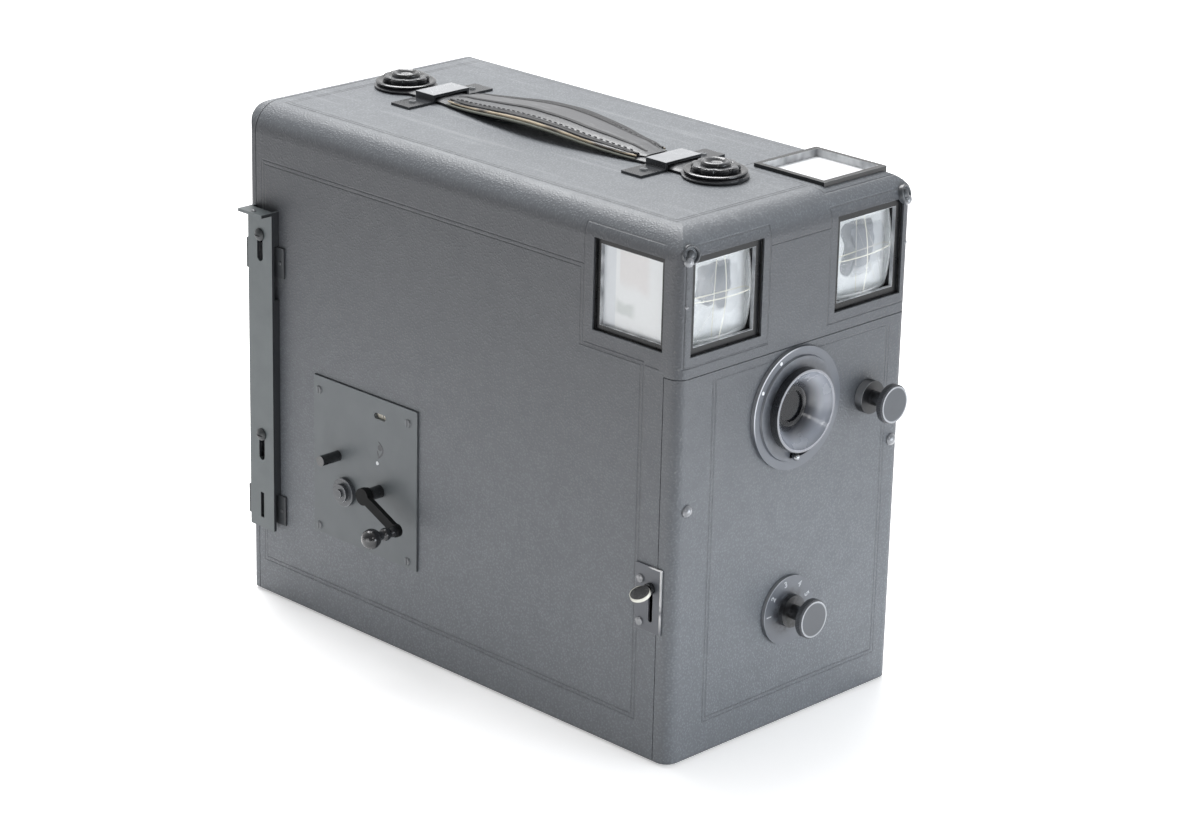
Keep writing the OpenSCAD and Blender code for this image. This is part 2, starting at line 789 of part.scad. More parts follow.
// Outline of a wheel with n narrow teeth; the first one points along the angle a0
module gear_2d(n, r_root, r_tip, t_root, t_tip, a0) {
    polygon([for (i = [0 : n - 1])
        let (a = a0 + 360 * i / n, low = tooth(a, r_root, t_root), high = tooth(a, r_tip, t_tip))
            each [low[0], high[0], high[1], low[1]]]);
}

gear_x = [-xw + 0.5, -xw + 2];

// A wheel in the plane of the mechanism: its outline is drawn as y and z
module wheel_at(y, z, x0, x1) {
    translate([x0, y, z]) rotate([90, 0, 90]) linear_extrude(height = x1 - x0) children();
}

module drive_pinion() {
    color("goldenrod") difference() {
        wheel_at(crank_y, crank_z, gear_x[0], gear_x[1])
            gear_2d(pinion_n, pinion_r - 0.8, pinion_r + 0.65, 1.15, 0.5, 90);
        rod_x(-xo, -xi, crank_y, crank_z, shaft_r);
    }
}

module counter_wheel() {
    color("ivory") difference() {
        wheel_at(crank_y, counter_z, gear_x[0], gear_x[1])
            gear_2d(wheel_n, counter_r - 0.9, counter_r + 0.6, 1.15, 0.5, 90 + 180 / wheel_n);
        rod_x(-xo, -xi, crank_y, counter_z, 1.2 + run);
    }
}

module crank_shaft() {
    color("silver") rod_x(-xo - arm_out + 0.6, mag_x + mag_t + 0.5, crank_y, crank_z, shaft_r);
}

module crank_arm() {
    color("black") difference() {
        union() {
            translate([-xo - arm_out, 0, 0]) rotate([90, 0, 90]) linear_extrude(height = 2) {
                translate([crank_y, crank_z]) circle(r = 3.4);
                translate(arm_end) circle(r = 2.5);
                translate([crank_y, crank_z]) rotate(180 + crank_angle) translate([0, -2])
                    square([crank_arm_l, 4]);
            }
            rod_x(-xo - arm_out + 2, -xo - arm_out + 3.4, crank_y, crank_z, 3);
            // pin that the handle turns on
            rod_x(-xo - arm_out - 3.2, -xo - arm_out + 0.5, arm_end[0], arm_end[1], 1.1);
        }
        rod_x(-xo - arm_out + 0.6, -xi, crank_y, crank_z, shaft_r);
    }
}

// Points of a round bead of radius r whose middle is c along the axis
function bead(c, r, a0, a1, n) = [for (i = [0 : n])
    let (a = a0 + (a1 - a0) * i / n) [max(r * cos(a), 0), c + r * sin(a)]];

// The handle is turned about its pin: a collar, a bead, a stem and the ball
module crank_handle() {
    end = handle_out - arm_out - 0.15 - crank_ball_r;
    stem = 1.6;
    color("black") translate([-xo - arm_out - 0.15, arm_end[0], arm_end[1]]) rotate([0, -90, 0])
        rotate_extrude() polygon(concat(
            [[0, 3.4], [1.1 + run, 3.4], [1.1 + run, 0], [2, 0], [2, 1.4], [1.7, 2.4]],
            bead(4.4, 2.5, -42, 48, 8),
            bead(end, crank_ball_r, -acos(stem / crank_ball_r), 90, 16)));
}

// Two hubs with three fingers each, which let the first plate go
module release_fingers() {
    color("goldenrod")
        for (x = [-30, 22])
            difference() {
                wheel_at(crank_y, crank_z, x, x + 8) {
                    circle(r = shaft_r + 1.1);
                    for (a = [90, 210, 330])
                        rotate(a) translate([0, -0.9]) square([plate_gap - 0.5, 1.8]);
                }
                rod_x(x - eps, x + 9, crank_y, crank_z, shaft_r);
            }
}

module push_pin() {
    color("black") {
        rod_x(-xo - pin_out, -xw + 0.3, pin_y, pin_z, pin_r);
        rod_x(-xw + 0.3, -xw + 1.3, pin_y, pin_z, pin_r + 1);
        rod_x(-xw + 1.3, -xi + 1.5, pin_y, pin_z, 1.5);
    }
}

module lock_knob() {
    color("black") {
        rod_x(plate_face - 1.9, plate_face - 0.3, lock_y, lock_z, lock_knob_r);
        rod_x(plate_face - 3.5, plate_face - 1.9, lock_y, lock_z, lock_knob_r - 2);
        rod_x(plate_face - 4.3, plate_face - 3.5, lock_y, lock_z, 1.7);
        rod_x(plate_face - 0.4, -xw + 0.5, lock_y, lock_z, 1.6);
        // the cam behind the plate
        wheel_at(lock_y, lock_z, -xw + 0.3, -xw + 2.1) {
            circle(r = 2.8);
            rotate(-60) translate([0, -1.6]) square([7.5, 3.2]);
        }
    }
}

// Magazine: two sheet-metal sides on the floor, joined by the shelf that the plates stand on
module magazine_frame() {
    back = rear_rim - 7;
    color("dimgray") difference() {
        union() {
            for (s = [-1, 1])
                block(s > 0 ? mag_x : -mag_x - mag_t, s > 0 ? mag_x + mag_t : -mag_x,
                      crank_y - 5, back, zi, plate_z + sheath_h + 1);
            block(-mag_x - 0.5, mag_x + 0.5, stack_y, back, shelf_z - mag_t, shelf_z);
            for (s = [-1, 1])
                block(s > 0 ? mag_x - 6 : -mag_x - 0.5, s > 0 ? mag_x + 0.5 : -mag_x + 6,
                      crank_y - 5, back, zi, zi + mag_t);
        }
        rod_x(-xi, xi, crank_y, crank_z, shaft_r + run);
    }
}

module plate_sheaths() {
    color("dimgray")
        for (i = [0 : plate_n - 1])
            translate([0, stack_y + i * plate_pitch, plate_z])
                difference() {
                    block(-sheath_w / 2, sheath_w / 2, 0, sheath_d, 0, sheath_h);
                    block(-sheath_w / 2 + sheath_t, sheath_w / 2 - sheath_t,
                          sheath_t, sheath_d - sheath_t, sheath_t, sheath_h - sheath_t);
                    block(-sheath_w / 2 + 3, sheath_w / 2 - 3, -eps, sheath_t + eps, 3, sheath_h - 3);
                }
}

module glass_plates() {
    color("lightcyan")
        for (i = [0 : plate_n - 1])
            translate([0, stack_y + i * plate_pitch + sheath_t, plate_z + sheath_t])
                block(-plate_w / 2, plate_w / 2, 0, plate_t, 0, plate_h);
}

module pusher_plate() {
    color("silver") difference() {
        block(-plate_w / 2, plate_w / 2, pusher_y, pusher_y + pusher_t, plate_z, plate_z + plate_h);
        rod_y(0, pusher_y - eps, pusher_y + 3, plate_z + plate_h / 2, 12);
    }
}

// Bow springs riveted to the back door by their middles
module pusher_springs() {
    color("silver")
        for (x = [-1, 1] * 24)
            translate([x - 6, door_face - spring_r, spring_z]) rotate([90, 0, 90])
                linear_extrude(height = 12) intersection() {
                    difference() {
                        circle(r = spring_r);
                        circle(r = spring_r - spring_t);
                    }
                    translate([spring_r - spring_rise, -spring_half])
                        square([spring_rise + eps, 2 * spring_half]);
                }
}

// One hinge about the origin: the leaf behind the seam, or the one in front of it
module hinge_leaf(side, with_pin) {
    reach = hinge_x - xo;
    third = hinge_h / 3;
    y0 = side > 0 ? run : -leaf_t - run;
    difference() {
        union() {
            translate([-reach - leaf_w, y0, 0]) cube([leaf_w, leaf_t, hinge_h]);
            for (z = with_pin ? [0, 2 * third + 0.1] : [third + 0.1]) {
                h = with_pin ? third - 0.1 : third - 0.2;
                translate([-reach - 0.5, y0, z]) cube([reach + 0.5, leaf_t, h]);
                translate([0, 0, z]) cylinder(h = h, r = hinge_r);
            }
            if (with_pin)
                cylinder(h = hinge_h, r = hinge_pin_r);
        }
        if (!with_pin)
            translate([0, 0, -eps]) cylinder(h = hinge_h + 2 * eps, r = hinge_pin_r + run);
    }
}

module case_hinge_leaves() {
    color("goldenrod") {
        for (z = front_hinge_zs)
            translate([hinge_x, hinge_ys[0], z]) hinge_leaf(1, true);
        for (z = back_hinge_zs)
            translate([hinge_x, hinge_ys[1], z]) hinge_leaf(-1, true);
    }
}

module front_hinge_leaves() {
    color("goldenrod")
        for (z = front_hinge_zs)
            translate([hinge_x, hinge_ys[0], z]) hinge_leaf(-1, false);
}

module back_hinge_leaves() {
    color("goldenrod")
        for (z = back_hinge_zs)
            translate([hinge_x, hinge_ys[1], z]) hinge_leaf(1, false);
}

// Back door
module back_door() {
    color("saddlebrown") difference() {
        intersection() {
            case_form(skin);
            block(-xo, xo, door_face, yo, 0, case_h);
        }
        for (z = back_hinge_zs)
            leaf_space(hinge_ys[1], 1, z);
    }
}

module back_door_leather() {
    color("dimgray") difference() {
        intersection() {
            case_form(0);
            block(-xo - eps, xo + eps, door_face, yo + eps, 0, case_h + eps);
        }
        case_form(skin);
        for (z = back_hinge_zs)
            leaf_space(hinge_ys[1], 1, z);
    }
}

module light_trap() {
    x = xi - 0.4;
    color("black") difference() {
        block(-x, x, door_face - 4, door_face, zi + 0.4, zit - 0.4);
        block(-x + 3, x - 3, door_face - 5, door_face + eps, zi + 3.4, zit - 3.4);
    }
}

module hasps() {
    color("dimgray")
        for (z = hasp_zs)
            difference() {
                union() {
                    block(hasp_in - hasp_t, hasp_in, yo - hasp_reach, yo + hasp_t, z, z + hasp_h);
                    block(hasp_in - hasp_t, -xo + 16, yo, yo + hasp_t, z, z + hasp_h);
                }
                // slot that the lock bar's catch slides up into
                block(hasp_in - hasp_t - eps, hasp_in + eps, bar_mid - catch_r - 0.25, bar_mid + catch_r + 0.25,
                      z - eps, z + bar_travel - catch_r + 1);
                for (x = [-xo + 6, -xo + 12])
                    rod_y(x, yo - eps, yo + 2, z + hasp_h / 2, 0.7);
            }
}

module lock_bar() {
    edge = -xo - 0.15;
    color("slategray") difference() {
        union() {
            block(bar_face, bar_inner, bar_y0, bar_y1, bar_z0, bar_z1);
            difference() {
                // edges, soldered to the bar
                for (y = [bar_y0, bar_y1 - bar_t])
                    block(bar_inner + hair, edge, y, y + bar_t, bar_z0, bar_z1);
                // ways for the hasps through both edges
                for (z = hasp_zs)
                    block(bar_inner, edge + eps, bar_y0 - eps, bar_y1 + eps,
                          z - bar_travel - gap, z + hasp_h + gap);
            }
            // thumb tab
            block(bar_face - 5, bar_face + 0.2, bar_y0, bar_y1, bar_z1 - bar_t, bar_z1);
            // catch pins, riveted to the bar
            for (z = hasp_zs)
                rod_x(bar_inner + hair, edge - 0.05, bar_mid, z - catch_r - 0.35, catch_r);
        }
        for (z = bar_screw_zs) {
            block(bar_face - eps, bar_inner + eps, bar_mid - bar_screw_r - run, bar_mid + bar_screw_r + run,
                  z - bar_travel, z);
            for (end = [0, -bar_travel])
                rod_x(bar_face - eps, bar_inner + eps, bar_mid, z + end, bar_screw_r + run);
        }
        // window over the lower hasp
        block(bar_face - eps, bar_inner + eps, bar_mid - 1, bar_mid + 1, hasp_low + 1.5, hasp_low + 12);
    }
}

module lock_bar_screws() {
    color("silver")
        for (z = bar_screw_zs) {
            rod_x(bar_face - 0.3, -xo + 6, bar_mid, z, bar_screw_r);
            difference() {
                intersection() {
                    rod_x(bar_face - 1.9, bar_face - 0.15, bar_mid, z, 2.5);
                    translate([bar_face + 1.2, bar_mid, z]) sphere(r = 3);
                }
                block(bar_face - 3, bar_face - 1.2, bar_mid - 4, bar_mid + 4, z - 0.3, z + 0.3);
            }
        }
}

// Latch: a plate on the side, a pin with a thumb piece in its slot, and the panel's keeper
module latch_plate() {
    color("dimgray") difference() {
        block(-xo - latch_plate_t, -xo, latch_plate_y0, latch_plate_y0 + latch_plate_w,
              latch_plate_z0, latch_plate_z0 + latch_plate_h);
        block(-xo - 2, -xo + eps, latch_y - latch_pin_r - run, latch_y + latch_pin_r + run,
              latch_z - latch_travel, latch_z);
        for (end = [0, -latch_travel])
            rod_x(-xo - 2, -xo + eps, latch_y, latch_z + end, latch_pin_r + run);
        // relief over the edge of the front panel, which swings
        block(-xo - 0.25, -xo + eps, latch_plate_y0 - eps, front_rim, 0, case_h);
        small_screw_holes();
    }
}

module latch_slide() {
    collar_face = -xo - latch_plate_t - 0.15;
    color("black") {
        // thumb piece with its collar
        rod_x(-xo - 4, -xo - 2, latch_y, latch_z, latch_pin_r);
        rod_x(-xo - 2.6, collar_face, latch_y, latch_z, latch_pin_r + 1.2);
        translate([-xo - 2.4 - paddle_r, latch_y, latch_z - 0.6]) rotate([0, -24, 0])
            cylinder(h = 1.3, r = paddle_r, center = true);
        // pin, and the nut on its inner end
        rod_x(collar_face + hair, -xw + 3.3, latch_y, latch_z, latch_pin_r);
        difference() {
            rod_x(-xw + 2.5, -xw + 3.3, latch_y, latch_z, latch_pin_r + 1);
            rod_x(-xw + 2.5 - eps, -xw + 3.3 + eps, latch_y, latch_z, latch_pin_r + hair);
        }
    }
}

module front_keeper() {
    top = latch_z - latch_pin_r - 0.8;
    low = latch_z - latch_travel - latch_pin_r - 3.2;
    color("goldenrod") difference() {
        union() {
            block(tongue_x[0], tongue_x[1], panel_back - 0.5, latch_pocket_y - 0.5, low, top);
            block(tongue_x[0], tongue_x[1] + 5, panel_back - 0.8, panel_back, low, top);
        }
        block(tongue_x[0] - eps, tongue_x[1] + 0.01, latch_y - latch_pin_r - 0.2, latch_y + latch_pin_r + 0.2,
              latch_z - latch_travel - latch_pin_r - 0.2, top + eps);
        for (z = [low + 3, top - 3])
            rod_y(tongue_x[1] + 3, panel_back - 2, panel_back + eps, z, 0.7);
    }
}

// Front panel
module panel_holes() {
    rod_y(0, face - eps, panel_back + eps, lens_z, bore_r);
    rod_y(0, face - eps, panel_back + eps, dial_z, arbor_r + run);
    rod_y(shutter_x, face - eps, panel_back + eps, shutter_z, arbor_r + run);
    for (x = [-1, 1] * stud_x)
        rod_y(x, face - eps, face + 5, stud_z, 1.2);
}

module front_panel() {
    color("saddlebrown") difference() {
        intersection() {
            case_form(skin);
            block(-xo, xo, -yo, panel_back, 0, panel_h - skin);
        }
        panel_holes();
        for (z = front_hinge_zs)
            leaf_space(hinge_ys[0], -1, z);
        block(tongue_x[0], tongue_x[1] + 5, panel_back - 0.8, panel_back + eps,
              latch_z - latch_travel - latch_pin_r - 3.2, latch_z - latch_pin_r - 0.8);
    }
}

module front_panel_leather() {
    color("dimgray") difference() {
        intersection() {
            case_form(0);
            block(-xo - eps, xo + eps, -yo - eps, panel_back, 0, panel_h);
        }
        intersection() {
            case_form(skin);
            block(-xo - eps, xo + eps, -yo - eps, yo, 0, panel_h - skin);
        }
        panel_holes();
        for (z = front_hinge_zs)
            leaf_space(hinge_ys[0], -1, z);
    }
}

module panel_studs() {
    color("silver")
        for (x = [-1, 1] * stud_x) {
            rod_y(x, face - 0.5, face + 5, stud_z, 1.2);
            intersection() {
                rod_y(x, face - 2, face, stud_z, 2.3);
                translate([x, face + 0.9, stud_z]) sphere(r = 2.7);
            }
        }
}

// Lens: flange, hood with its funnel, glasses, iris and shutter
module arc_slot(r, w, a0, a1) {
    rotate_extrude(angle = a1 - a0, start = a0) translate([r - w, 0]) square([2 * w, 30]);
}

// Shapes about the lens axis: local z runs from the panel's face into the case
module on_lens_axis() {
    translate([0, face, lens_z]) rotate([-90, 0, 0]) children();
}

module lens_flange() {
    color("black") on_lens_axis() difference() {
        union() {
            translate([0, 0, -flange_t]) cylinder(h = flange_t, r = flange_r);
            translate([0, 0, -flange_t - 0.9]) cylinder(h = 1, r1 = 19.6, r2 = 20);
        }
        translate([0, 0, -5]) cylinder(h = 10, r = barrel_r);
        // curved slot that the ball pin moves in
        translate([0, 0, -15]) arc_slot(post_r, 1, -iris_rest - iris_turn - 4, -iris_rest + 4);
    }
}

module lens_hood() {
    throat = 7.6;
    stop = 5.8;
    seat = 8.9;
    color("black") on_lens_axis() difference() {
        union() {
            translate([0, 0, -hood_out]) cylinder(h = hood_out - flange_t - 0.9, r = hood_r);
            translate([0, 0, -hood_out]) cylinder(h = hood_out + panel_t - 2.6, r = barrel_r);
        }
        // the funnel behind the rim, the stop ring at its bottom, and the seat of the front glass
        translate([0, 0, -hood_out - 0.01]) cylinder(h = hood_out + 1.2, r1 = hood_r - 1, r2 = throat);
        cylinder(h = 20, r = stop);
        translate([0, 0, 2]) cylinder(h = 20, r = seat);
    }
}

module lens_glasses() {
    color("lightcyan") on_lens_axis() {
        intersection() {
            translate([0, 0, 2.02]) cylinder(h = 2.3, r = 8.9 - run);
            translate([0, 0, 1.25 + 26]) sphere(r = 26);
        }
        translate([0, 0, housing_back - face + 1]) cylinder(h = 2.6, r = 10.6 - run);
    }
}

module iris_housing() {
    back = housing_back - face;
    color("dimgray") on_lens_axis() difference() {
        union() {
            difference() {
                cylinder(h = back, r = bore_r - 0.1);
                translate([0, 0, -eps]) cylinder(h = back - 0.8 + eps, r = bore_r - 1.2);
                cylinder(h = 30, r = 11.2);
            }
            for (i = [0 : blade_n - 1])
                rotate(i * 360 / blade_n) translate([pivot_r, 0, blade_y0 - face])
                    cylinder(h = housing_back - blade_y0 - 0.5, r = 0.6);
        }
    }
}

module iris_ring() {
    a = -iris_rest;
    color("dimgray") on_lens_axis() {
        translate([0, 0, iris_ring_y - face]) difference() {
            cylinder(h = 1, r = bore_r - 1.2 - run);
            translate([0, 0, -eps]) cylinder(h = 3, r = 14.2);
        }
        rotate(a) translate([post_r, 0, -hood_out + 1.8])
            cylinder(h = iris_ring_y - face + hood_out - 1.6, r = 0.8);
        rotate(a) translate([post_r, 0, -hood_out + 1.6]) sphere(r = 1.4);
    }
}

// A blade is a narrow crescent that lies against the wall when the iris is open
module iris_blade(i) {
    color("black") on_lens_axis() translate([0, 0, blade_y0 - face + i * blade_pitch])
        rotate(i * 360 / blade_n) difference() {
            union() {
                rotate_extrude(angle = 118, start = 0) translate([12.2, 0]) square([3.4, blade_t]);
                translate([pivot_r, 0, 0]) cylinder(h = blade_t, r = 1.4);
                translate([13.4, -1, 0]) cube([3.2, 2, blade_t]);
            }
            translate([pivot_r, 0, -eps]) cylinder(h = 3, r = 0.6 + run);
        }
}

module iris_blade_1() { iris_blade(0); }
module iris_blade_2() { iris_blade(1); }
module iris_blade_3() { iris_blade(2); }
module iris_blade_4() { iris_blade(3); }

module rear_cell() {
    color("goldenrod") difference() {
        rod_y(0, housing_back, cell_end, lens_z, 13);
        rod_y(0, housing_back - eps, cell_end + eps, lens_z, 10.6);
    }
}

module shutter_plate() {
    color("dimgray") difference() {
        union() {
            block(-22, 48, shutter_plate_y, shutter_plate_y + 0.8, lens_z - 25.7, lens_z + 21.3);
            for (p = shutter_posts)
                rod_y(p[0], panel_back, shutter_plate_y + 0.4, p[1], 1.9);
        }
        rod_y(0, shutter_plate_y - eps, shutter_plate_y + 2, lens_z, 12);
        rod_y(shutter_x, shutter_plate_y - eps, shutter_plate_y + 2, shutter_z, arbor_r + run);
    }
}

module shutter_blade() {
    reach = norm([shutter_dx, shutter_dz]);
    tilt = atan2(-shutter_dz, -shutter_dx);
    color("black") translate([shutter_x, blade_y, shutter_z]) rotate([90, 0, 0])
        translate([0, 0, -0.5]) linear_extrude(height = 0.5) difference() {
            rotate(tilt) {
                translate([reach, 0]) circle(r = 14);
                translate([0, -4]) square([reach, 8]);
                circle(r = 6);
            }
            circle(r = arbor_r);
        }
}

module front_knob(x, z, base_r, base_t) {
    rod_y(x, face - 0.15 - base_t, face - 0.15, z, base_r);
    rod_y(x, face - knob_out + knob_t - 0.2, face - base_t, z, 2.7);
    translate([x, face - knob_out + knob_t + 2.6, z]) rotate([90, 0, 0])
        cylinder(h = 2.8, r1 = 2.7, r2 = 4.6);
    rod_y(x, face - knob_out + 0.6, face - knob_out + knob_t, z, knob_r);
    translate([x, face - knob_out + 0.6, z]) rotate([90, 0, 0])
        cylinder(h = 0.6, r1 = knob_r, r2 = knob_r - 0.5);
}

module shutter_knob() {
    color("dimgray") {
        front_knob(shutter_x, shutter_z, 6.3, 3.2);
        rod_y(shutter_x, face - 1, shutter_plate_y + 1.6, shutter_z, arbor_r);
    }
}

module speed_dial() {
    color("dimgray") {
        front_knob(0, dial_z, dial_r, 1.3);
        rod_y(0, face - 4, face - 1, dial_z, 6.2);
        rod_y(0, face - 1, panel_back + 3.4, dial_z, arbor_r);
        // the cam behind the panel, with one flat for each number
        translate([0, panel_back + 3, dial_z]) rotate([90, 0, 0]) linear_extrude(height = 1.4)
            difference() {
                circle(r = 9);
                for (i = [0 : 4])
                    rotate(i * dial_turn / 4 + 10) translate([9.4, 0]) circle(r = 1.6);
            }
    }
}

case_shell();
base_board();
case_leather();
tripod_bush();
feet();
finder_boxes();
finder_front_frames();
finder_front_glasses();
finder_mirrors();
viewing_glasses();
side_viewing_frame();
top_viewing_frame();
frame_nails();
handle_strap();
handle_studs();
handle_bridges();
screws();
mechanism_plate();
mechanism_back_plate();
magazine_frame();
plate_sheaths();
glass_plates();
latch_plate();
case_hinge_leaves();
pusher_plate();
back_door();
back_door_leather();
light_trap();
back_hinge_leaves();
hasps();
pusher_springs();
lock_bar();
latch_slide();
crank_shaft();
crank_arm();
crank_handle();
release_fingers();
drive_pinion();
counter_wheel();
push_pin();
lock_knob();
front_panel();
front_panel_leather();
front_hinge_leaves();
front_keeper();
panel_studs();
lens_flange();
lens_hood();
lens_glasses();
iris_housing();
rear_cell();
shutter_plate();
iris_ring();
iris_blade_1();
iris_blade_2();
iris_blade_3();
iris_blade_4();
shutter_blade();
shutter_knob();
speed_dial();
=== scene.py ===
# %% [markdown]
# # A detective camera
# A wooden box in grained black leather, with two finders, a lens in a bell-shaped hood, a crank for
# changing the plates and a leather strap on top.
# The solids come from model.glb and stay where they are. This scene gives them their finishes, and builds the pieces
# that CAD can't make soft, worn or fine enough.

import math

import bpy
from mathutils import Matrix, Vector


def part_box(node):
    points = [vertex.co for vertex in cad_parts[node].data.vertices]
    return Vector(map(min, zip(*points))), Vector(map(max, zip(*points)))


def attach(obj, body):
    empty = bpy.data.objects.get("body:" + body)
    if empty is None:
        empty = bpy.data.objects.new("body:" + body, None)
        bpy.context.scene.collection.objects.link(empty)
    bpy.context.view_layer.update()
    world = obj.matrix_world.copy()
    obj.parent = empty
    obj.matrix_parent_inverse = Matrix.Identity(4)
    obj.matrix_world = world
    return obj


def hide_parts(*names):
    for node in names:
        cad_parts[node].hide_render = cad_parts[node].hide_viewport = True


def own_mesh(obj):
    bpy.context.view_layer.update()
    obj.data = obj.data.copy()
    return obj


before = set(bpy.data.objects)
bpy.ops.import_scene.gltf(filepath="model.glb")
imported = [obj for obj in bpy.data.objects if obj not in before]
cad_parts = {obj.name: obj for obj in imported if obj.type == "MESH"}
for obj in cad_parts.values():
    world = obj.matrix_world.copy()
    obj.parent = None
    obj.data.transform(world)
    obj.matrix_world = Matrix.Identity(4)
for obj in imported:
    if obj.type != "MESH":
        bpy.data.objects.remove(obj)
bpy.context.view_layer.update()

# %% [markdown]
# Shader maths reads best as plain arithmetic, so a small class wraps one output of a node and takes
# +, -, * and /. Each sign adds a Math node, and a plain number may stand on either side.
# One method makes every other node: its settings first, then the values and wires that go in.
# A wire with no socket is the start of a material, from which its first nodes are made.

# %% Shader arithmetic
# The Mix node has sockets for each kind of data. These are the ones for colours.
COLOUR_A, COLOUR_B, COLOUR_OUT = 6, 7, 2


class Wire:
    """One output of a shader node, which takes plain arithmetic."""

    def __init__(self, tree, socket=None):
        self.tree, self.socket = tree, socket

    def node(self, kind, settings=None, inputs=None, out=0):
        """A new node, as a wire from the output that is asked for."""
        made = self.tree.nodes.new("ShaderNode" + kind)
        for key, value in (settings or {}).items():
            setattr(made, key, value)
        for key, value in (inputs or {}).items():
            if isinstance(value, Wire):
                self.tree.links.new(value.socket, made.inputs[key])
            else:
                made.inputs[key].default_value = value
        return Wire(self.tree, made.outputs[out])

    def maths(self, operation, *values):
        """A Math node on this wire, if it has a socket, and on the values."""
        values = values if self.socket is None else (self,) + values
        return self.node("Math", {"operation": operation}, dict(enumerate(values)))

    def __add__(self, other):
        return self.maths("ADD", other)

    def __sub__(self, other):
        return self.maths("SUBTRACT", other)

    def __rsub__(self, other):
        return Wire(self.tree).maths("SUBTRACT", other, self)

    def __mul__(self, other):
        return self.maths("MULTIPLY", other)

    def __truediv__(self, other):
        return self.maths("DIVIDE", other)

    def __rtruediv__(self, other):
        return Wire(self.tree).maths("DIVIDE", other, self)

    __radd__, __rmul__ = __add__, __mul__

    def size(self):
        """How big the value is, whatever its sign."""
        return self.maths("ABSOLUTE")

    def least(self, other):
        """The smaller of the two."""
        return self.maths("MINIMUM", other)

    def most(self, other):
        """The larger of the two."""
        return self.maths("MAXIMUM", other)

    def dot(self, other):
        """How far this direction agrees with the other one, from -1 to 1."""
        return self.node("VectorMath", {"operation": "DOT_PRODUCT"}, {0: self, 1: other}, "Value")

    def fade(self, start, end):
        """0 before start, 1 after end, smooth between; the two may also run downwards."""
        if start > end:
            return 1.0 - self.fade(end, start)
        kind = {"interpolation_type": "SMOOTHSTEP"}
        return self.node("MapRange", kind, {"Value": self, "From Min": start, "From Max": end})

    def mix(self, a, b):
        """Colour a where this wire is 0 and b where it is 1."""
        a, b = (v if isinstance(v, Wire) else tuple(v) + (1.0,) for v in (a, b))
        return self.node("Mix", {"data_type": "RGBA"}, {0: self, COLOUR_A: a, COLOUR_B: b}, COLOUR_OUT)


def linear(*colour):
    """A colour read from 0 to 255 as the shader's linear numbers."""
    return tuple(c / 255 / 12.92 if c < 10.5 else ((c / 255 + 0.055) / 1.055) ** 2.4 for c in colour)


def layered(colour, *layers):
    """Colours laid one over the other. A layer is how far it shows and its colour from 0 to 255."""
    for amount, tint in layers:
        colour = amount.mix(colour, linear(*tint))
    return colour


print("shader arithmetic is ready")

# %% [markdown]
# Every pattern is placed in millimetres in the object's own frame, so its scale is that of the real
# thing, and it runs on unbroken from one piece to the next.
# Wear is found from the shape itself: the Bevel node bends the normal near an edge, and the bend is
# where a hand would rub.

# %% Places and patterns
MM = 1000.0  # millimetres in a metre


def split(vector):
    """The x, y and z of a vector."""
    parts = vector.node("SeparateXYZ", inputs={0: vector}).socket.node.outputs
    return [Wire(vector.tree, part) for part in parts]


def place(start):
    """x, y and z in millimetres, in the object's own frame."""
    return [part * MM for part in split(start.node("TexCoord", out="Object"))]


def facing(start):
    """The three parts of the surface's own direction, each from -1 to 1."""
    return split(start.node("TexCoord", out="Normal"))


def noise(start, per_mm, detail, stretch=(1, 1, 1)):
    """A soft random pattern from 0 to 1, with that many waves to a millimetre."""
    scale = tuple(MM * per_mm * s for s in stretch)
    at = start.node("TexCoord", out="Object")
    at = at.node("VectorMath", {"operation": "MULTIPLY"}, {0: at, 1: scale})
    return at.node("TexNoise", inputs={"Vector": at, "Scale": 1.0, "Detail": detail, "Roughness": 0.55})


def cells(start, per_mm):
    """Distance to the nearest of many scattered points, as pores and pebbles lie."""
    at = start.node("TexCoord", out="Object")
    return at.node("TexVoronoi", {"feature": "F1"}, {"Vector": at, "Scale": MM * per_mm})


def bump(height, depth_mm):
    """A normal from a height that runs from 0 to 1 and stands for depth_mm."""
    return height.node("Bump", inputs={"Height": height, "Distance": depth_mm / MM, "Strength": 1.0})


def edges(start, radius_mm):
    """1 where two faces meet within that radius and 0 on the flats."""
    soft = start.node("Bevel", {"samples": 4}, {"Radius": radius_mm / MM})
    hard = start.node("NewGeometry", out="Normal")
    return (1.0 - soft.dot(hard)).fade(0.02, 0.22)


finishes = {}


def finish(name, paint, **fixed):
    """A material: paint gives what varies over the surface, fixed what is the same all over."""
    made = bpy.data.materials.new(name)
    made.use_nodes = True
    shader = made.node_tree.nodes["Principled BSDF"]
    for key, value in fixed.items():
        shader.inputs[key.replace("_", " ")].default_value = value
    for key, wire in paint(Wire(made.node_tree)).items():
        made.node_tree.links.new(wire.socket, shader.inputs[key])
    finishes[name] = made
    return made


print("patterns and finishes are ready, at", int(MM), "millimetres to a metre")

# %% [markdown]
# The leather is one finish for the case, the back door and the front panel, because their pressed lines
# run on from one to the other.
# The lines could be grooves in the mesh, but they are shallower than the grain. Here they are distances
# to rectangles, so a line keeps its width. A pair of them is pressed round each face, and a single line
# frames each window.

# %% Pressed lines of the leather
LINE, PAIR_GAP = 0.5, 1.5


def outline(a, b, low, high):
    """Distance outside a rectangle, negative inside it."""
    mid = [(low[i] + high[i]) / 2 for i in (0, 1)]
    half = [(high[i] - low[i]) / 2 for i in (0, 1)]
    return ((a - mid[0]).size() - half[0]).most((b - mid[1]).size() - half[1])


def pressed(distance):
    return distance.size().fade(LINE, LINE * 0.1)


def pair(distance):
    return pressed(distance.size() - PAIR_GAP / 2)


def looking(part):
    """1 where the surface looks the way that this part of its direction measures."""
    return part.fade(0.75, 0.9)


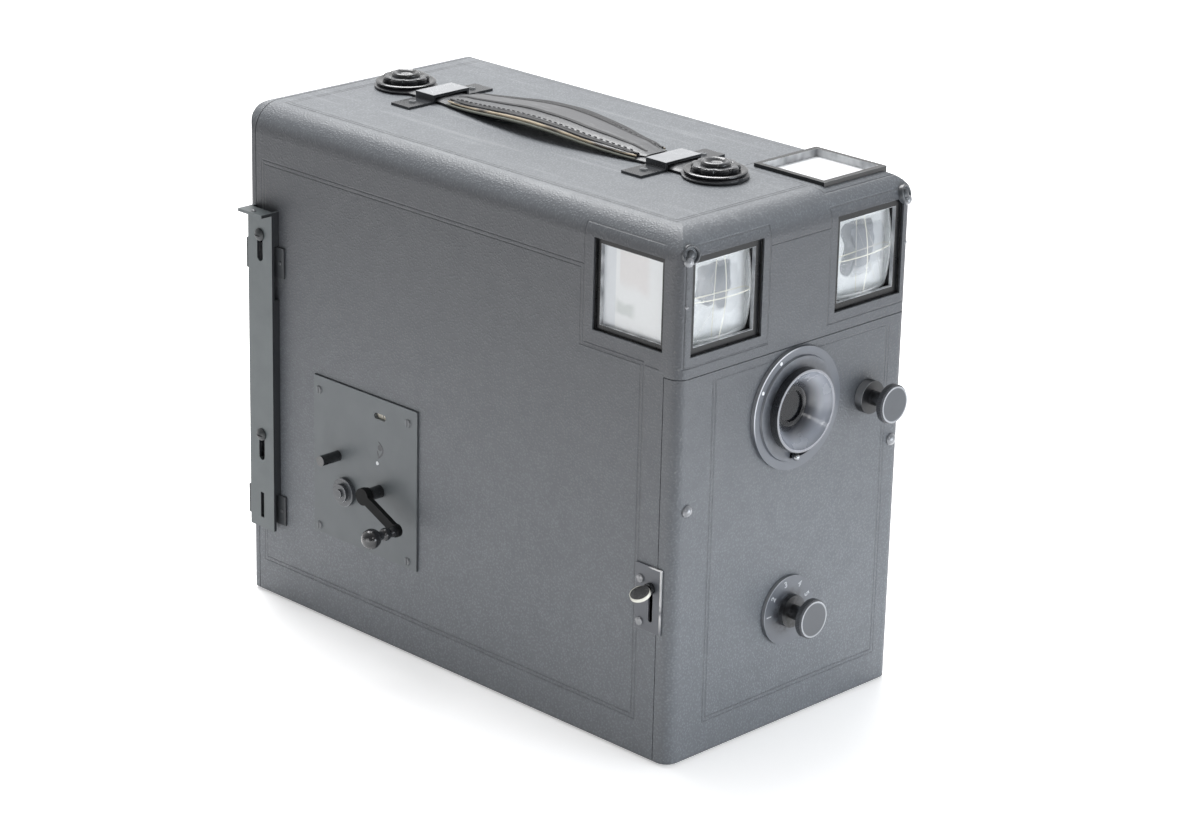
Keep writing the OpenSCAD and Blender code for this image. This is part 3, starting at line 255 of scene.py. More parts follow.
def leather_lines(start):
    """1 on the lines that are pressed into the leather, face by face."""
    x, y, z = place(start)
    nx, ny, nz = facing(start)
    panel = pair(outline(x, z, (-42.5, 14.0), (50.0, 144.8))) * z.fade(144.4, 143.6)
    windows = pressed(outline(x.size(), z, (16.0, 151.3), (58.5, 194.5)))
    rail = pressed(z - 187.5) * x.size().fade(16.5, 15.5)
    front = panel.most(windows).most(rail)

    field = outline(y, z, (-97.0, 15.4), (106.0, 178.5))
    notch = outline(y, z, (-130.0, 150.0), (-67.0, 200.0))
    window = pressed(outline(y, z, (-112.0, 149.6), (-67.8, 194.5))) * y.fade(-106.0, -104.0)
    side = pair(field.most(0.0 - notch)).most(window)

    lid = pair(outline(x, y, (-50.0, -101.0), (50.0, 104.0)))
    clear = outline(x, y, (17.0, -112.0), (60.0, -68.6)).fade(0.0, 0.6)
    window = pressed(outline(x, y, (17.5, -109.0), (57.4, -69.3)))
    top = (lid * clear).most(window)

    back = pair(outline(x, z, (-50.0, 12.0), (50.0, 188.0)))
    lines = (looking(0.0 - ny) * front).most(looking(nx.size()) * side)
    return lines.most(looking(nz) * top).most(looking(ny) * back)


print("pressed lines", LINE, "mm wide, in pairs", PAIR_GAP, "mm apart")

# %% [markdown]
# The grain is coarse pebbles, fine pores and the weave of the cloth below, laid over each other as noise and scattered
# cells. The skin is scuffed lighter where the box has been handled, at its corners, and streaked on the lid. Painted
# shade darkens its rolled edges, and its upright faces towards the top.


# %% Leather
def leather_grain(start):
    pebbles = cells(start, 1.05).fade(0.05, 0.62)
    pores = noise(start, 1.9, 2.0)
    cloth = noise(start, 0.9, 2.0, (0.25, 0.25, 1)) * 0.5 + noise(start, 0.9, 2.0, (1, 1, 0.25)) * 0.5
    return pebbles * 0.5 + pores * 0.3 + cloth * 0.2


def leather_scuff(start):
    """Light flecks at the corners of the box."""
    x, y, z = place(start)
    corner = (x.size() - 52.0).most(0.0) + (y.size() - 105.0).most(0.0)
    corner = corner + (z - 190.0).most(0.0) + (9.0 - z).most(0.0)
    return noise(start, 0.9, 4.0).fade(0.63, 0.7) * corner.fade(11.0, 22.0) * 0.55


def leather(start):
    z = place(start)[2]
    nx, ny, nz = facing(start)
    cloud = noise(start, 0.16, 4.0)
    drift = noise(start, 0.02, 3.0)
    grain = leather_grain(start)
    lines = leather_lines(start) * (0.55 + cloud * 0.5)
    flat = nx.size().most(ny.size()).most(nz.size())
    # Painted shade: the rolled edges are darkened a little, and the upright faces more towards the top.
    roll_shade = flat.fade(0.995, 0.9) * nz.fade(0.02, 0.3)
    shade = z.fade(20.0, 200.0) * (1.0 - nz.fade(0.15, 0.6))
    streak = noise(start, 0.22, 4.0, (1, 0.06, 1)).fade(0.52, 0.72) * nz.fade(0.6, 0.9)
    colour = layered(
        drift.mix(linear(100, 105, 110), linear(112, 117, 122)),
        (cloud.fade(0.35, 0.7) * 0.3, (92, 96, 102)),
        (grain - 0.3, (68, 71, 77)),
        (roll_shade * 0.12, (82, 85, 91)),
        (lines * (0.42 + looking(nz) * 0.3), (54, 57, 62)),
        (shade * 0.9, (53, 55, 60)),
        (z.fade(2.6, 0.6) * 0.5, (50, 52, 56)),
        (streak * 0.35, (140, 143, 147)),
        (leather_scuff(start), (160, 160, 160)),
    )
    height = (1.0 - grain) * 1.1 + cloud * 0.25 - lines * 1.8
    rough = 0.42 + cloud * 0.12 + grain * 0.08
    return {"Base Color": colour, "Roughness": rough, "Normal": bump(height, 0.155)}


finish("leather", leather, Specular_IOR_Level=0.75)
print("leather:", len(finishes["leather"].node_tree.nodes), "nodes")

# %% [markdown]
# Under the leather the box is thin wood. It is stained dark on the edges that show when a door is open,
# and painted dull black inside and round the finder windows, so that no light is thrown on the plates.
# One finish does both, because both are on the same solids: a rectangle tells inside from outside.


# %% Wood
def wood(start):
    x, y, z = place(start)
    grain = noise(start, 0.35, 4.0, (1, 1, 0.06))
    rings = noise(start, 0.05, 2.0, (1, 1, 0.1))
    inside = outline(x, y, (-53.9, -107.3), (53.9, 110.2)).fade(0.4, -0.4) * z.fade(8.2, 8.8)
    windows = z.fade(149.0, 150.0) * y.fade(-66.0, -67.0)
    stain = layered(grain.mix(linear(44, 30, 22), linear(84, 60, 43)), (rings * 0.5, (36, 25, 19)))
    black = grain.mix(linear(26, 26, 27), linear(38, 38, 39))
    colour = inside.most(windows).mix(stain, black)
    return {"Base Color": colour, "Roughness": 0.62 + grain * 0.2, "Normal": bump(grain, 0.12)}


finish("wood", wood, Specular_IOR_Level=0.4)
print("wood: stained outside, black inside")

# %% [markdown]
# The metal is black or grey lacquer worn bright on its edges, polished studs, and bare steel, nickel and
# brass. One painter makes them all. A lacquer wears through where two faces meet, and a noise breaks that
# line up so that the wear is never even.
# The plain ones are rows of a table, so that they can be compared at a glance.


# %% Metals
def metal(base, worn, wear=0.8, rough=0.4, patch=0.35, radius=0.35, lacquered=True):
    """base is the colour and worn that of its rubbed edges, wear how far these have gone, patch how
    blotchy it is, and radius how wide in millimetres an edge wears."""

    def paint(start):
        blotch = noise(start, 0.12, 4.0)
        fine = noise(start, 2.2, 2.0)
        gone = edges(start, radius) * blotch.fade(0.38, 0.62) * wear
        darker, lighter = [c * 0.72 for c in base], [min(255, c * 1.35) for c in base]
        tone = (blotch * patch).mix(linear(*base), linear(*darker))
        shown = {
            "Base Color": layered(tone, (fine * 0.14, lighter), (gone, worn)),
            "Roughness": rough + (blotch - 0.5) * 0.22 + (fine - 0.5) * 0.08 - gone * 0.1,
            "Normal": bump(fine * 0.5 + blotch, 0.03),
        }
        if lacquered:
            shown["Metallic"] = gone
        return shown

    return paint


# base colour, worn colour, wear, roughness, patchiness, specular level
lacquers = {
    "soft_black": ((52, 54, 58), (150, 151, 155), 0.7, 0.4, 0.35, 0.6),
    "grey_plate": ((92, 97, 100), (150, 152, 154), 0.35, 0.46, 0.2, 0.5),
    "arm_black": ((13, 14, 15), (120, 121, 125), 0.4, 0.6, 0.4, 0.15),
    "hasp_grey": ((58, 61, 64), (140, 143, 146), 0.5, 0.4, 0.3, 0.5),
    "knob_grey": ((68, 71, 75), (196, 198, 200), 0.8, 0.3, 0.3, 0.6),
}
for name, (*row, specular) in lacquers.items():
    finish(name, metal(*row), Specular_IOR_Level=specular)

# base colour, worn colour, wear, roughness, patchiness, specular level, coat, roughness of the coat
polished = {
    "black_metal": ((26, 27, 30), (170, 171, 175), 0.7, 0.2, 0.4, 0.75, 0.4, 0.08),
    "stud_metal": ((128, 130, 134), (222, 223, 226), 0.8, 0.14, 0.3, 0.8, 0.6, 0.05),
    "bright_dome": ((120, 122, 126), (214, 215, 217), 0.9, 0.16, 0.3, 0.8, 0.5, 0.03),
}
for name, (*row, specular, coat, coat_rough) in polished.items():
    finish(name, metal(*row), Specular_IOR_Level=specular, Coat_Weight=coat, Coat_Roughness=coat_rough)

# base colour, worn colour, wear, roughness, patchiness
bare = {
    "steel": ((120, 122, 125), (190, 190, 192), 0.6, 0.3, 0.4),
    "spring_steel": ((74, 76, 80), (150, 151, 154), 0.6, 0.34, 0.4),
    "nickel": ((150, 152, 155), (210, 210, 212), 0.6, 0.24, 0.35),
    "brass": ((112, 94, 66), (172, 150, 108), 0.6, 0.4, 0.5),
}
for name, row in bare.items():
    finish(name, metal(*row, lacquered=False), Metallic=1.0)
print(len(lacquers), "lacquers,", len(polished), "polished and", len(bare), "bare metals")

# %% [markdown]
# Some metal pieces are worn in their own way. The lock bar is grey outside with painted shade on its edges, the screws
# in it are nearly black, hands have rubbed the stamped caps of the studs, and the bridges of the strap are rubbed bare
# on top and carry a painted sheen there.
# Each takes the common painter and lays one more colour over it.


# %% Metals with wear and painted light of their own
def tinted(shown, amount, colour):
    """Lays a colour over a painter's own, as far as amount says."""
    shown["Base Color"] = amount.mix(shown["Base Color"], colour)
    return shown


def bar_grey(start):
    shown = metal((88, 95, 97), (150, 154, 156), 0.4, 0.4, 0.45)(start)
    nx, _, nz = facing(start)
    # Painted shade: the faces that look neither out nor up are darkened.
    out = (0.0 - nx).most(nz)
    return tinted(shown, out.fade(0.7, 0.3), linear(48, 51, 54))


def screw_metal(start):
    shown = metal((98, 101, 104), (140, 142, 145), 0.6, 0.42)(start)
    in_the_bar = place(start)[1].fade(95.0, 96.0)
    return tinted(shown, in_the_bar, linear(50, 53, 55))


def bridge_metal(start):
    shown = metal((44, 46, 50), (170, 172, 175), 0.8, 0.26, 0.4, 0.5)(start)
    # The tops are rubbed bare, and their light colour is also a painted sheen.
    top = facing(start)[2].fade(0.7, 0.9) * place(start)[2].fade(202.0, 202.4)
    rub = noise(start, 0.12, 4.0)
    return tinted(shown, top * 0.9, rub.mix(linear(140, 142, 146), linear(182, 184, 187)))


def cap_metal(start):
    shown = metal((30, 31, 34), (160, 162, 166), 0.75, 0.24, 0.4, 0.5)(start)
    top = facing(start)[2].fade(0.5, 0.9) * place(start)[2].fade(203.9, 204.2)
    rub = noise(start, 0.25, 4.0).fade(0.35, 0.65)
    return tinted(shown, top * rub * 0.7, linear(84, 86, 90))


finish("bar_grey", bar_grey, Specular_IOR_Level=0.55)
finish("small_screws", screw_metal, Specular_IOR_Level=0.6)
finish("bridge_metal", bridge_metal, Specular_IOR_Level=0.7)
finish("cap_metal", cap_metal, Specular_IOR_Level=0.7, Coat_Weight=0.3, Coat_Roughness=0.1)
print("bar, screws, bridges and caps have their own wear")

# %% [markdown]
# What is left is plain: dull black inside the lens, ivory card on the counter, and paint for the marks and
# numbers. Even these aren't one flat colour. A little noise moves each between two close ones.


# %% Dull paint and card
def inner_black(start):
    fine = noise(start, 0.8, 3.0)
    return {"Base Color": fine.mix(linear(22, 22, 24), linear(44, 45, 47)), "Roughness": 0.5 + fine * 0.2}


def ivory(start):
    grain = noise(start, 0.5, 4.0)
    return {"Base Color": grain.mix(linear(214, 208, 192), linear(240, 236, 224)), "Roughness": 0.4 + grain * 0.2}


def chipped(low, high):
    """Paint between two greys, as the white of a mark or a number that has lost some of it."""

    def paint(start):
        chip = noise(start, 1.2, 4.0)
        return {"Base Color": chip.mix(linear(*low), linear(*high)), "Roughness": 0.5 + chip * 0.2}

    return paint


finish("inner_black", inner_black)
finish("ivory", ivory)
finish("white_paint", chipped((204, 207, 212), (240, 241, 242)))
finish("number_paint", chipped((150, 153, 158), (206, 208, 211)))
finish("ink", chipped((84, 86, 90), (124, 126, 130)))
print(len(finishes), "finishes so far")

# %% [markdown]
# The hood, its flange and the two knobs are turned pieces, so their finishes run in rings. The distance
# from the axis paints a rim or a throat, and the angle round it mills a knob's edge.
# The funnel is a cone in the solids, and the real one curves as a bell. A height that follows the radius
# bends the cone's normal as the bell's, so the highlights lie deep in it and no new mesh is needed.

# %% Rings round an axis
LENS, DIAL, RIGHT_KNOB = (0.0, 123.7), (0.0, 45.5), (39.4, 118.9)  # x and z of the axes
PANEL_FACE = -114.5


def from_axis(start, centre):
    """Distance from an axis along Y, and how far right of it and above it."""
    x, _, z = place(start)
    dx, dz = x - centre[0], z - centre[1]
    return start.maths("SQRT", dx * dx + dz * dz), dx, dz


def face_on(start):
    """1 where a face looks out of the panel."""
    return (0.0 - facing(start)[1]).fade(0.85, 0.97)


def lit_edge(r, dx, dz):
    """1 on the upper left of a ring, which catches the light."""
    return ((dz * 0.57 - dx * 0.82) / r).fade(0.5, 0.9)


def band(r, radius, width):
    """A ring of that radius and half width."""
    return (r - radius).size().fade(width, width * 0.4)


def hood(start):
    r = from_axis(start, LENS)[0]
    blotch = noise(start, 0.14, 4.0)
    # Painted shade: the funnel darkens towards the throat.
    colour = layered(
        r.fade(8.2, 14.2).mix(linear(58, 60, 66), linear(146, 150, 159)),
        (r.fade(14.7, 15.0), (36, 38, 42)),
        (band(r, 15.0, 0.62) * face_on(start), (118, 120, 127)),
        (r.fade(8.0, 7.4) * 0.9, (24, 25, 28)),
    )
    t = r.least(14.4) - 11.2
    bell = t * (t * t - 10.8) * 0.0093
    return {"Base Color": colour, "Roughness": 0.2 + blotch * 0.12, "Normal": bump(bell + blotch * 0.007, 3.0)}


def flange(start):
    r, dx, dz = from_axis(start, LENS)
    blotch, lit = noise(start, 0.14, 4.0), lit_edge(r, dx, dz)
    turn = start.maths("ARCTAN2", dz, dx)
    hood_shade = ((turn - 2.4).maths("COSINE") * 0.5 + 0.5) * noise(start, 0.3, 4.0).fade(0.3, 0.6)
    # Painted shade darkens the flange near the hood, most on its upper left, and painted highlights lie along the
    # upper left of its two edges.
    colour = layered(
        blotch.mix(linear(78, 82, 90), linear(96, 100, 107)),
        (r.fade(19.4, 17.5) * 0.5, (58, 61, 67)),
        (hood_shade * r.fade(21.5, 16.0) * 0.75, (40, 42, 47)),
        (band(r, 22.7, 0.4) * lit * 0.9, (206, 208, 212)),
        (band(r, 19.7, 0.3) * lit * 0.25, (170, 172, 176)),
    )
    return {"Base Color": colour, "Roughness": 0.3 + blotch * 0.14, "Normal": bump(blotch, 0.03)}


finish("hood", hood, Specular_IOR_Level=0.8, Coat_Weight=0.4, Coat_Roughness=0.12)
finish("flange", flange, Specular_IOR_Level=0.7)
print("hood and flange turn round x, z =", LENS)

# %% [markdown]
# A knob is a wide disc on the panel, a dark neck and a milled head with a bright rim. It is one solid, so
# its finish asks how far out a point stands and which way it faces to tell these apart. The two knobs
# differ only in their discs, so one function paints both.


# %% Knobs
def knob(centre, disc, disc_out, disc_r):
    """A knob on its disc. disc is the disc's colour, disc_out how far it stands out of the panel, and disc_r the
    radius of the painted highlight on its edge."""

    def paint(start):
        r, dx, dz = from_axis(start, centre)
        out, flat = PANEL_FACE - place(start)[1], face_on(start)
        blotch = noise(start, 0.14, 4.0)
        smut_and_shade = noise(start, 0.3, 4.0).fade(0.4, 0.6)
        # Round the neck the disc is darkened with smut and the knob's painted shadow, and its upper left edge has a
        # painted highlight.
        plate = layered(
            blotch.mix(linear(*disc), linear(*[c * 0.86 for c in disc])),
            (r.fade(10.5, 5.0) * smut_and_shade * 0.85, (36, 38, 42)),
            (band(r, disc_r, 0.35) * lit_edge(r, dx, dz) * 0.5, (180, 182, 186)),
        )
        neck = smut_and_shade.mix(linear(26, 27, 29), linear(66, 68, 72))
        side = blotch.mix(linear(62, 64, 68), linear(86, 88, 92))
        face = blotch.mix(linear(66, 69, 74), linear(78, 81, 86))
        head = out.fade(11.0, 11.3)
        colour = out.fade(disc_out, disc_out + 0.3).mix(plate, neck)
        colour = (head * flat).mix(head.mix(colour, side), face)
        rim = band(r, 6.85, 0.8) * flat * head * (0.35 + blotch * 0.8)
        turn = start.maths("ARCTAN2", dz, dx)
        milled = ((turn * 64.0).maths("SINE") * 0.5 + 0.5) * head * (1.0 - flat)
        return {
            "Base Color": layered(colour, (rim, (180, 182, 186))),
            "Roughness": 0.34 + blotch * 0.12,
            "Normal": bump(milled + blotch * 0.1, 0.12),
        }

    return paint


finish("dial", knob(DIAL, (100, 104, 111), 2.0, 13.0), Specular_IOR_Level=0.6)
finish("knob", knob(RIGHT_KNOB, (36, 38, 42), 3.6, 6.2), Specular_IOR_Level=0.5)
print("dial and knob are milled round their edges")

# %% [markdown]
# The finder windows have black frames, whose inner walls carry a painted reflection of the bright glass behind them.
# The same rectangle that pressed the leather's lines finds those walls.
# The latch is small, but the eye goes to it: its plate has a painted highlight and wear along two edges, and the disc
# of its thumb piece has a bare rim. The disc is tilted, so its radius is measured square to its own axis.

# %% Frames and latch
FINDER_X, FINDER_Y, FINDER_Z = 37.5, -89.2, 172.8  # middles of the finder windows


def framed(across, centre, half):
    """A window's frame: black outside, with a painted reflection on the walls of its opening. across says which two of
    x, y and z run across the window."""

    def paint(start):
        shown = metal((13, 14, 16), (190, 191, 194), 0.75, 0.3, 0.4, 0.3)(start)
        at = place(start)
        a, b = at[across[0]], at[across[1]]
        if across[0] == 0:
            a = a.size()
        edge = outline(a, b, [c - half for c in centre], [c + half for c in centre])
        glint = noise(start, 0.12, 2.0).fade(0.35, 0.65)
        # Painted reflection: the walls of the opening are painted bright.
        return tinted(shown, edge.fade(0.12, 0.04), glint.mix(linear(150, 152, 156), linear(206, 208, 210)))

    return paint


def latch_lacquer(start):
    """The latch's plate, with a painted highlight and wear along its upper and front edges."""
    shown = metal((86, 89, 95), (206, 206, 208), 0.5, 0.4, 0.3)(start)
    y, z = place(start)[1:]
    worn = noise(start, 0.12, 3.0).fade(0.3, 0.45)
    # Painted highlight with wear: a bright line along the upper and front edges, broken by noise.
    line = (y + 109.65).size().fade(0.5, 0.2) * z.fade(50.0, 58.0)
    line = line.most((z - 75.6).size().fade(0.4, 0.15) * y.fade(-103.0, -106.0))
    return tinted(shown, line * worn * 0.95, linear(214, 214, 214))


def latch_thumb(start):
    """The latch's thumb piece, with a bare bright edge round its disc."""
    shown = metal((30, 31, 32), (150, 151, 155), 0.4, 0.26, 0.4)(start)
    x, y, z = place(start)
    dx, dy, dz = x + 67.2, y + 105.0, z - 67.2
    along = dx * -0.407 + dz * 0.914
    radial = start.maths("SQRT", (dx * dx + dy * dy + dz * dz - along * along).most(0.0))
    return tinted(shown, radial.fade(3.45, 3.6) * dx.fade(3.0, 1.5), linear(226, 225, 214))


finish("front_frame", framed((0, 2), (FINDER_X, FINDER_Z), 15.2), Specular_IOR_Level=0.35)
finish("side_frame", framed((1, 2), (FINDER_Y, FINDER_Z), 14.8), Specular_IOR_Level=0.35)
finish("top_frame", framed((0, 1), (FINDER_X, FINDER_Y), 14.8), Specular_IOR_Level=0.7)
finish("latch_lacquer", latch_lacquer, Specular_IOR_Level=0.55)
finish("latch_thumb", latch_thumb, Specular_IOR_Level=0.6)
print("three window frames and the latch")

# %% [markdown]
# The finder glasses are clear, so light reaches the pale boxes and mirrors behind them and comes back out.
# Clear glass is alpha driven by Fresnel, which is quick and keeps its reflections: see-through head on, bright at a
# low angle. The fine cross lines on the front glasses are painted on, and so are reflections of the room and a pale
# painted light round their rims.


# %% Clear glass
def clear_glass(start):
    fresnel = start.node("Fresnel", inputs={"IOR": 1.5})
    dust = noise(start, 0.25, 5.0)
    alpha = fresnel * 0.75 + 0.06 + dust.fade(0.5, 0.8) * 0.06
    colour = dust.mix((0.86, 0.88, 0.9), (0.95, 0.96, 0.96))
    return {"Base Color": colour, "Roughness": 0.04 + dust * 0.05, "Alpha": alpha}


def cross_lines(a, b):
    """One upright line, one level line and a fainter slanting one, with a and b from the middle."""
    upright = (a + b * 0.05).size().fade(0.34, 0.14)
    level = (b - a * 0.03).size().fade(0.34, 0.14)
    slant = (b + a * 1.9 - 9.0).size().fade(0.3, 0.1)
    return upright.most(level).most(slant * 0.7)


def crossed_glass(start):
    """A clear front glass with fine cross lines, a pale painted light at its rim, and painted reflections of the room
    in soft patches.
    """
    x, _, z = place(start)
    a, b = x.size() - FINDER_X, z - FINDER_Z
    cross = cross_lines(a, b)
    wave = noise(start, 0.07, 2.0)
    # Painted reflection: soft patches of the room on the glass.
    room = (b + wave * 16.0 - a * 0.3 - 3.0).fade(-1.5, 1.5) * (b - 13.5 + wave * 4.0).fade(1.0, -1.0)
    room = room * (a + wave * 10.0 - 6.0).size().fade(9.5, 7.0)
    patch = room * (0.26 + x.fade(0.0, 30.0) * 0.26)
    # Painted light: a pale rim round the glass.
    rim = a.size().most(b.size()).fade(13.4, 14.8)
    dust = noise(start, 0.25, 5.0)
    fresnel = start.node("Fresnel", inputs={"IOR": 1.5})
    alpha = (fresnel * 0.75 + 0.07 + dust.fade(0.45, 0.75) * 0.1).most(cross * 0.6)
    alpha = alpha.most(rim * 0.6).most(patch)
    reflected_shapes = wave.mix(linear(116, 120, 128), linear(176, 180, 184))
    colour = patch.fade(0.05, 0.2).mix((0.9, 0.92, 0.93), reflected_shapes)
    colour = (rim * 0.9).mix(colour, (0.86, 0.88, 0.88))
    colour = cross.mix(colour, (0.86, 0.84, 0.72))
    return {"Base Color": colour, "Roughness": 0.04 + dust * 0.06, "Alpha": alpha}


finish("glass", clear_glass, Specular_IOR_Level=0.6)
finish("finder_glass", crossed_glass, Specular_IOR_Level=0.6)
print("clear glass, and finder glass with cross lines")

# %% [markdown]
# The panes that one looks into are ground or clear, and the lens is nearly black. The mirrors behind the
# front glasses are bright metal under dust, and the boxes that hold them are pale inside, because the
# finders show white in the photograph.


# %% Viewing glasses, lens and mirrors
def viewing_glass(start):
    """The top pane is ground white. The side pane is clearer, with painted reflections of the room in soft shapes."""
    x, y, z = place(start)
    dust = noise(start, 0.5, 5.0)
    white = dust.mix((0.84, 0.86, 0.88), (0.95, 0.96, 0.97))
    side = x.fade(-20.0, -30.0)
    a, b = y - FINDER_Y, z - FINDER_Z
    wave = noise(start, 0.09, 2.0)
    # Painted reflections: a pale strip, a pinkish wall and low grey shapes of the room.
    reflected_strip = a.fade(8.6, 9.2)
    reflected_wall = (b + wave * 6.0 - 4.0).fade(-3.0, 3.0) * a.fade(7.5, 6.5) * a.fade(-9.0, -5.0)
    reflected_low_shapes = (b + 7.0 + wave * 8.0 - 4.0).size().fade(3.4, 1.2) * a.fade(-2.0, 2.0) * a.fade(10.0, 7.0)
    seen = (reflected_strip * 0.35).mix((0.84, 0.86, 0.87), linear(196, 204, 214))
    seen = layered(seen, (reflected_wall * 0.3, (214, 200, 196)), (reflected_low_shapes * 0.4, (166, 176, 172)))
    rough = 0.3 - side * 0.2 + dust * 0.2
    return {"Base Color": side.mix(white, seen), "Roughness": rough, "Alpha": 0.93 - side * 0.08 + dust * 0.05}


def lens_glass(start):
    fresnel = start.node("Fresnel", inputs={"IOR": 1.6})
    dust = noise(start, 0.4, 4.0)
    colour = dust.mix(linear(12, 13, 16), linear(24, 26, 31))
    return {"Base Color": colour, "Roughness": 0.1 + dust * 0.1, "Alpha": 0.94 + fresnel * 0.05}


def mirror(start):
    dust = noise(start, 0.2, 5.0)
    colour = dust.mix((0.82, 0.83, 0.83), (0.93, 0.93, 0.92))
    return {"Base Color": colour, "Roughness": 0.03 + dust.fade(0.5, 0.8) * 0.2}


def pale_box(start):
    speck = noise(start, 0.3, 5.0)
    colour = speck.mix((0.56, 0.56, 0.54), (0.84, 0.83, 0.79))
    return {"Base Color": colour, "Roughness": 0.35 + speck * 0.2}


finish("viewing_glass", viewing_glass, Specular_IOR_Level=0.5)
finish("lens_glass", lens_glass, Specular_IOR_Level=0.3)
finish("mirror", mirror, Metallic=1.0)
finish("pale_box", pale_box)
print("viewing glasses, lens, mirrors and the boxes that hold them")

# %% [markdown]
# Each solid now takes its finish. The plates, holders and springs sit inside and show when the back door
# is open. The strap alone gets none, because pieces of this scene stand for it.

# %% Finishes on the solids
worn_by = {
    "leather": "case_leather back_door_leather front_panel_leather",
    "wood": "case_shell base_board back_door front_panel magazine_frame light_trap pusher_plate",
    "front_frame": "finder_front_frames",
    "side_frame": "side_viewing_frame",
    "top_frame": "top_viewing_frame",
    "black_metal": "crank_shaft crank_handle push_pin handle_studs",
    "arm_black": "crank_arm",
    "bridge_metal": "handle_bridges",
    "latch_thumb": "latch_slide",
    "soft_black": "plate_sheaths feet mechanism_back_plate",
    "knob_grey": "lock_knob",
    "inner_black": "iris_blade_1 iris_blade_2 iris_blade_3 iris_blade_4 shutter_blade shutter_plate "
    "iris_housing rear_cell",
    "small_screws": "screws",
    "knob": "shutter_knob",
    "dial": "speed_dial",
    "ivory": "counter_wheel",
    "grey_plate": "mechanism_plate",
    "bar_grey": "lock_bar",
    "hasp_grey": "hasps",
    "latch_lacquer": "latch_plate",
    "steel": "pusher_springs drive_pinion release_fingers front_keeper",
    "stud_metal": "frame_nails panel_studs",
    "brass": "case_hinge_leaves back_hinge_leaves front_hinge_leaves tripod_bush",
    "nickel": "iris_ring",
    "hood": "lens_hood",
    "flange": "lens_flange",
    "glass": "glass_plates",
    "finder_glass": "finder_front_glasses",
    "viewing_glass": "viewing_glasses",
    "lens_glass": "lens_glasses",
    "mirror": "finder_mirrors",
    "pale_box": "finder_boxes",
}
left = set(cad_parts)
for name, nodes in worn_by.items():
    for node in nodes.split():
        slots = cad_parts[node].data.materials
        slots.clear()
        slots.append(finishes[name])
        left.discard(node)
print("without a finish:", sorted(left))

# %% [markdown]
# Small helpers build the new pieces as meshes: one lofts sections into a closed skin, one turns a profile
# round an axis, with flutes or scallops if it has them. Points are in millimetres, as in the CAD.

# %% Mesh helpers
SHARP = math.radians(35)  # edges that bend more than this stay sharp


def piece(name, points, faces, body, look, slot):
    """A new piece that rides on a body and wears a finish; its slot is not used."""
    mesh = bpy.data.meshes.new(name)
    mesh.from_pydata([Vector(p) / 1000 for p in points], [], faces)
    mesh.validate()
    mesh.polygons.foreach_set("use_smooth", [True] * len(mesh.polygons))
    mesh.set_sharp_from_angle(angle=SHARP)
    mesh.materials.append(finishes[look])
    obj = bpy.data.objects.new(name, mesh)
    bpy.context.scene.collection.objects.link(obj)
    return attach(obj, body)


def skin(rings):
    """Points and faces of a closed skin over rings with the same number of points."""
    n = len(rings[0])
    points = [p for ring in rings for p in ring]
    faces = []
    for i in range(len(rings) - 1):
        for k in range(n):
            a, b = i * n + k, i * n + (k + 1) % n
            faces.append((a, b, b + n, a + n))
    faces.append(tuple(range(n))[::-1])
    faces.append(tuple(range(len(points) - n, len(points))))
    return points, faces


def turned(profile, axis, steps=96, shape=None):
    """A turned piece. Profile is (radius, height) from one end to the other; axis is
    (foot, up, side); shape(angle, radius) gives a changed radius."""
    foot, up, side = (Vector(v) for v in axis)
    across = up.cross(side)
    rings = []
    for r, h in profile:
        ring = []
        for k in range(steps):
            a = 2 * math.pi * k / steps
            q = shape(a, r) if shape else r
            ring.append(foot + up * h + (side * math.cos(a) + across * math.sin(a)) * q)
        rings.append(ring)
    return skin(rings)


def join(*parts):
    """Several (points, faces) as one."""
    points, faces = [], []
    for p, f in parts:
        faces += [tuple(i + len(points) for i in face) for face in f]
        points += p
    return points, faces


OUT, FORWARD, BACK, UP, RIGHT = (-1, 0, 0), (0, -1, 0), (0, 1, 0), (0, 0, 1), (1, 0, 0)


def dome(at, up, side, r, h):
    """A low round head, such as a rivet's."""
    return turned([(r, 0), (r, h * 0.3), (r * 0.88, h * 0.66), (r * 0.55, h * 0.92), (r * 0.1, h)], (at, up, side), 24)


print("mesh helpers are ready")

# %% [markdown]
# The strap is flat leather at its ends, where the studs hold it, and runs under a metal bridge on each
# side. Between the bridges it is a grip that swells to its middle and bows up, as a strap does that has
# been carried for years.
# It could be a cloth simulation, but leather this stiff keeps the shape that the hand gave it, so its
# width and its rise are plain functions of the place along it. The finish uses them too, for its folds.

# %% Shape of the strap
MID, STUDS = 10.0, (-72.3, 92.3)
FOOT = 200.15  # height of the strap's underside on the lid
STUD_END, NECK, GRIP_REACH = 12.3, 7.8, 55.0


def half_width(y):
    """Half the strap's width: round under the studs, narrow under the bridges, wide in the grip."""
    off = min(abs(y - s) for s in STUDS)
    end = math.sqrt(max(0.0, STUD_END**2 - off**2))
    neck = NECK if STUDS[0] < y < STUDS[1] else 0.0
    t = min(1.0, abs(y - MID) / GRIP_REACH)
    grip = NECK + 5.6 * math.cos(t * math.pi / 2) ** 1.2
    return max(end, neck if abs(y - MID) > GRIP_REACH else grip, 0.35)


def lift(y):
    """How far the grip stands up from the lid."""
    t = min(1.0, abs(y - MID) / 52.0)
    return 3.2 * (math.cos(t * math.pi) + 1) / 2


print("the grip is %.1f mm wide and stands up %.1f mm" % (2 * half_width(MID), lift(MID)))

# %% [markdown]
# Carried leather is glossier than the case's and full of fine cracks, with folds where it bends, darkened with painted
# shade. The folds follow the same swelling width as the mesh, and lose the gloss, so they stay dark at a low angle.
# Its cut edges show raw fibre, tan and dirty.


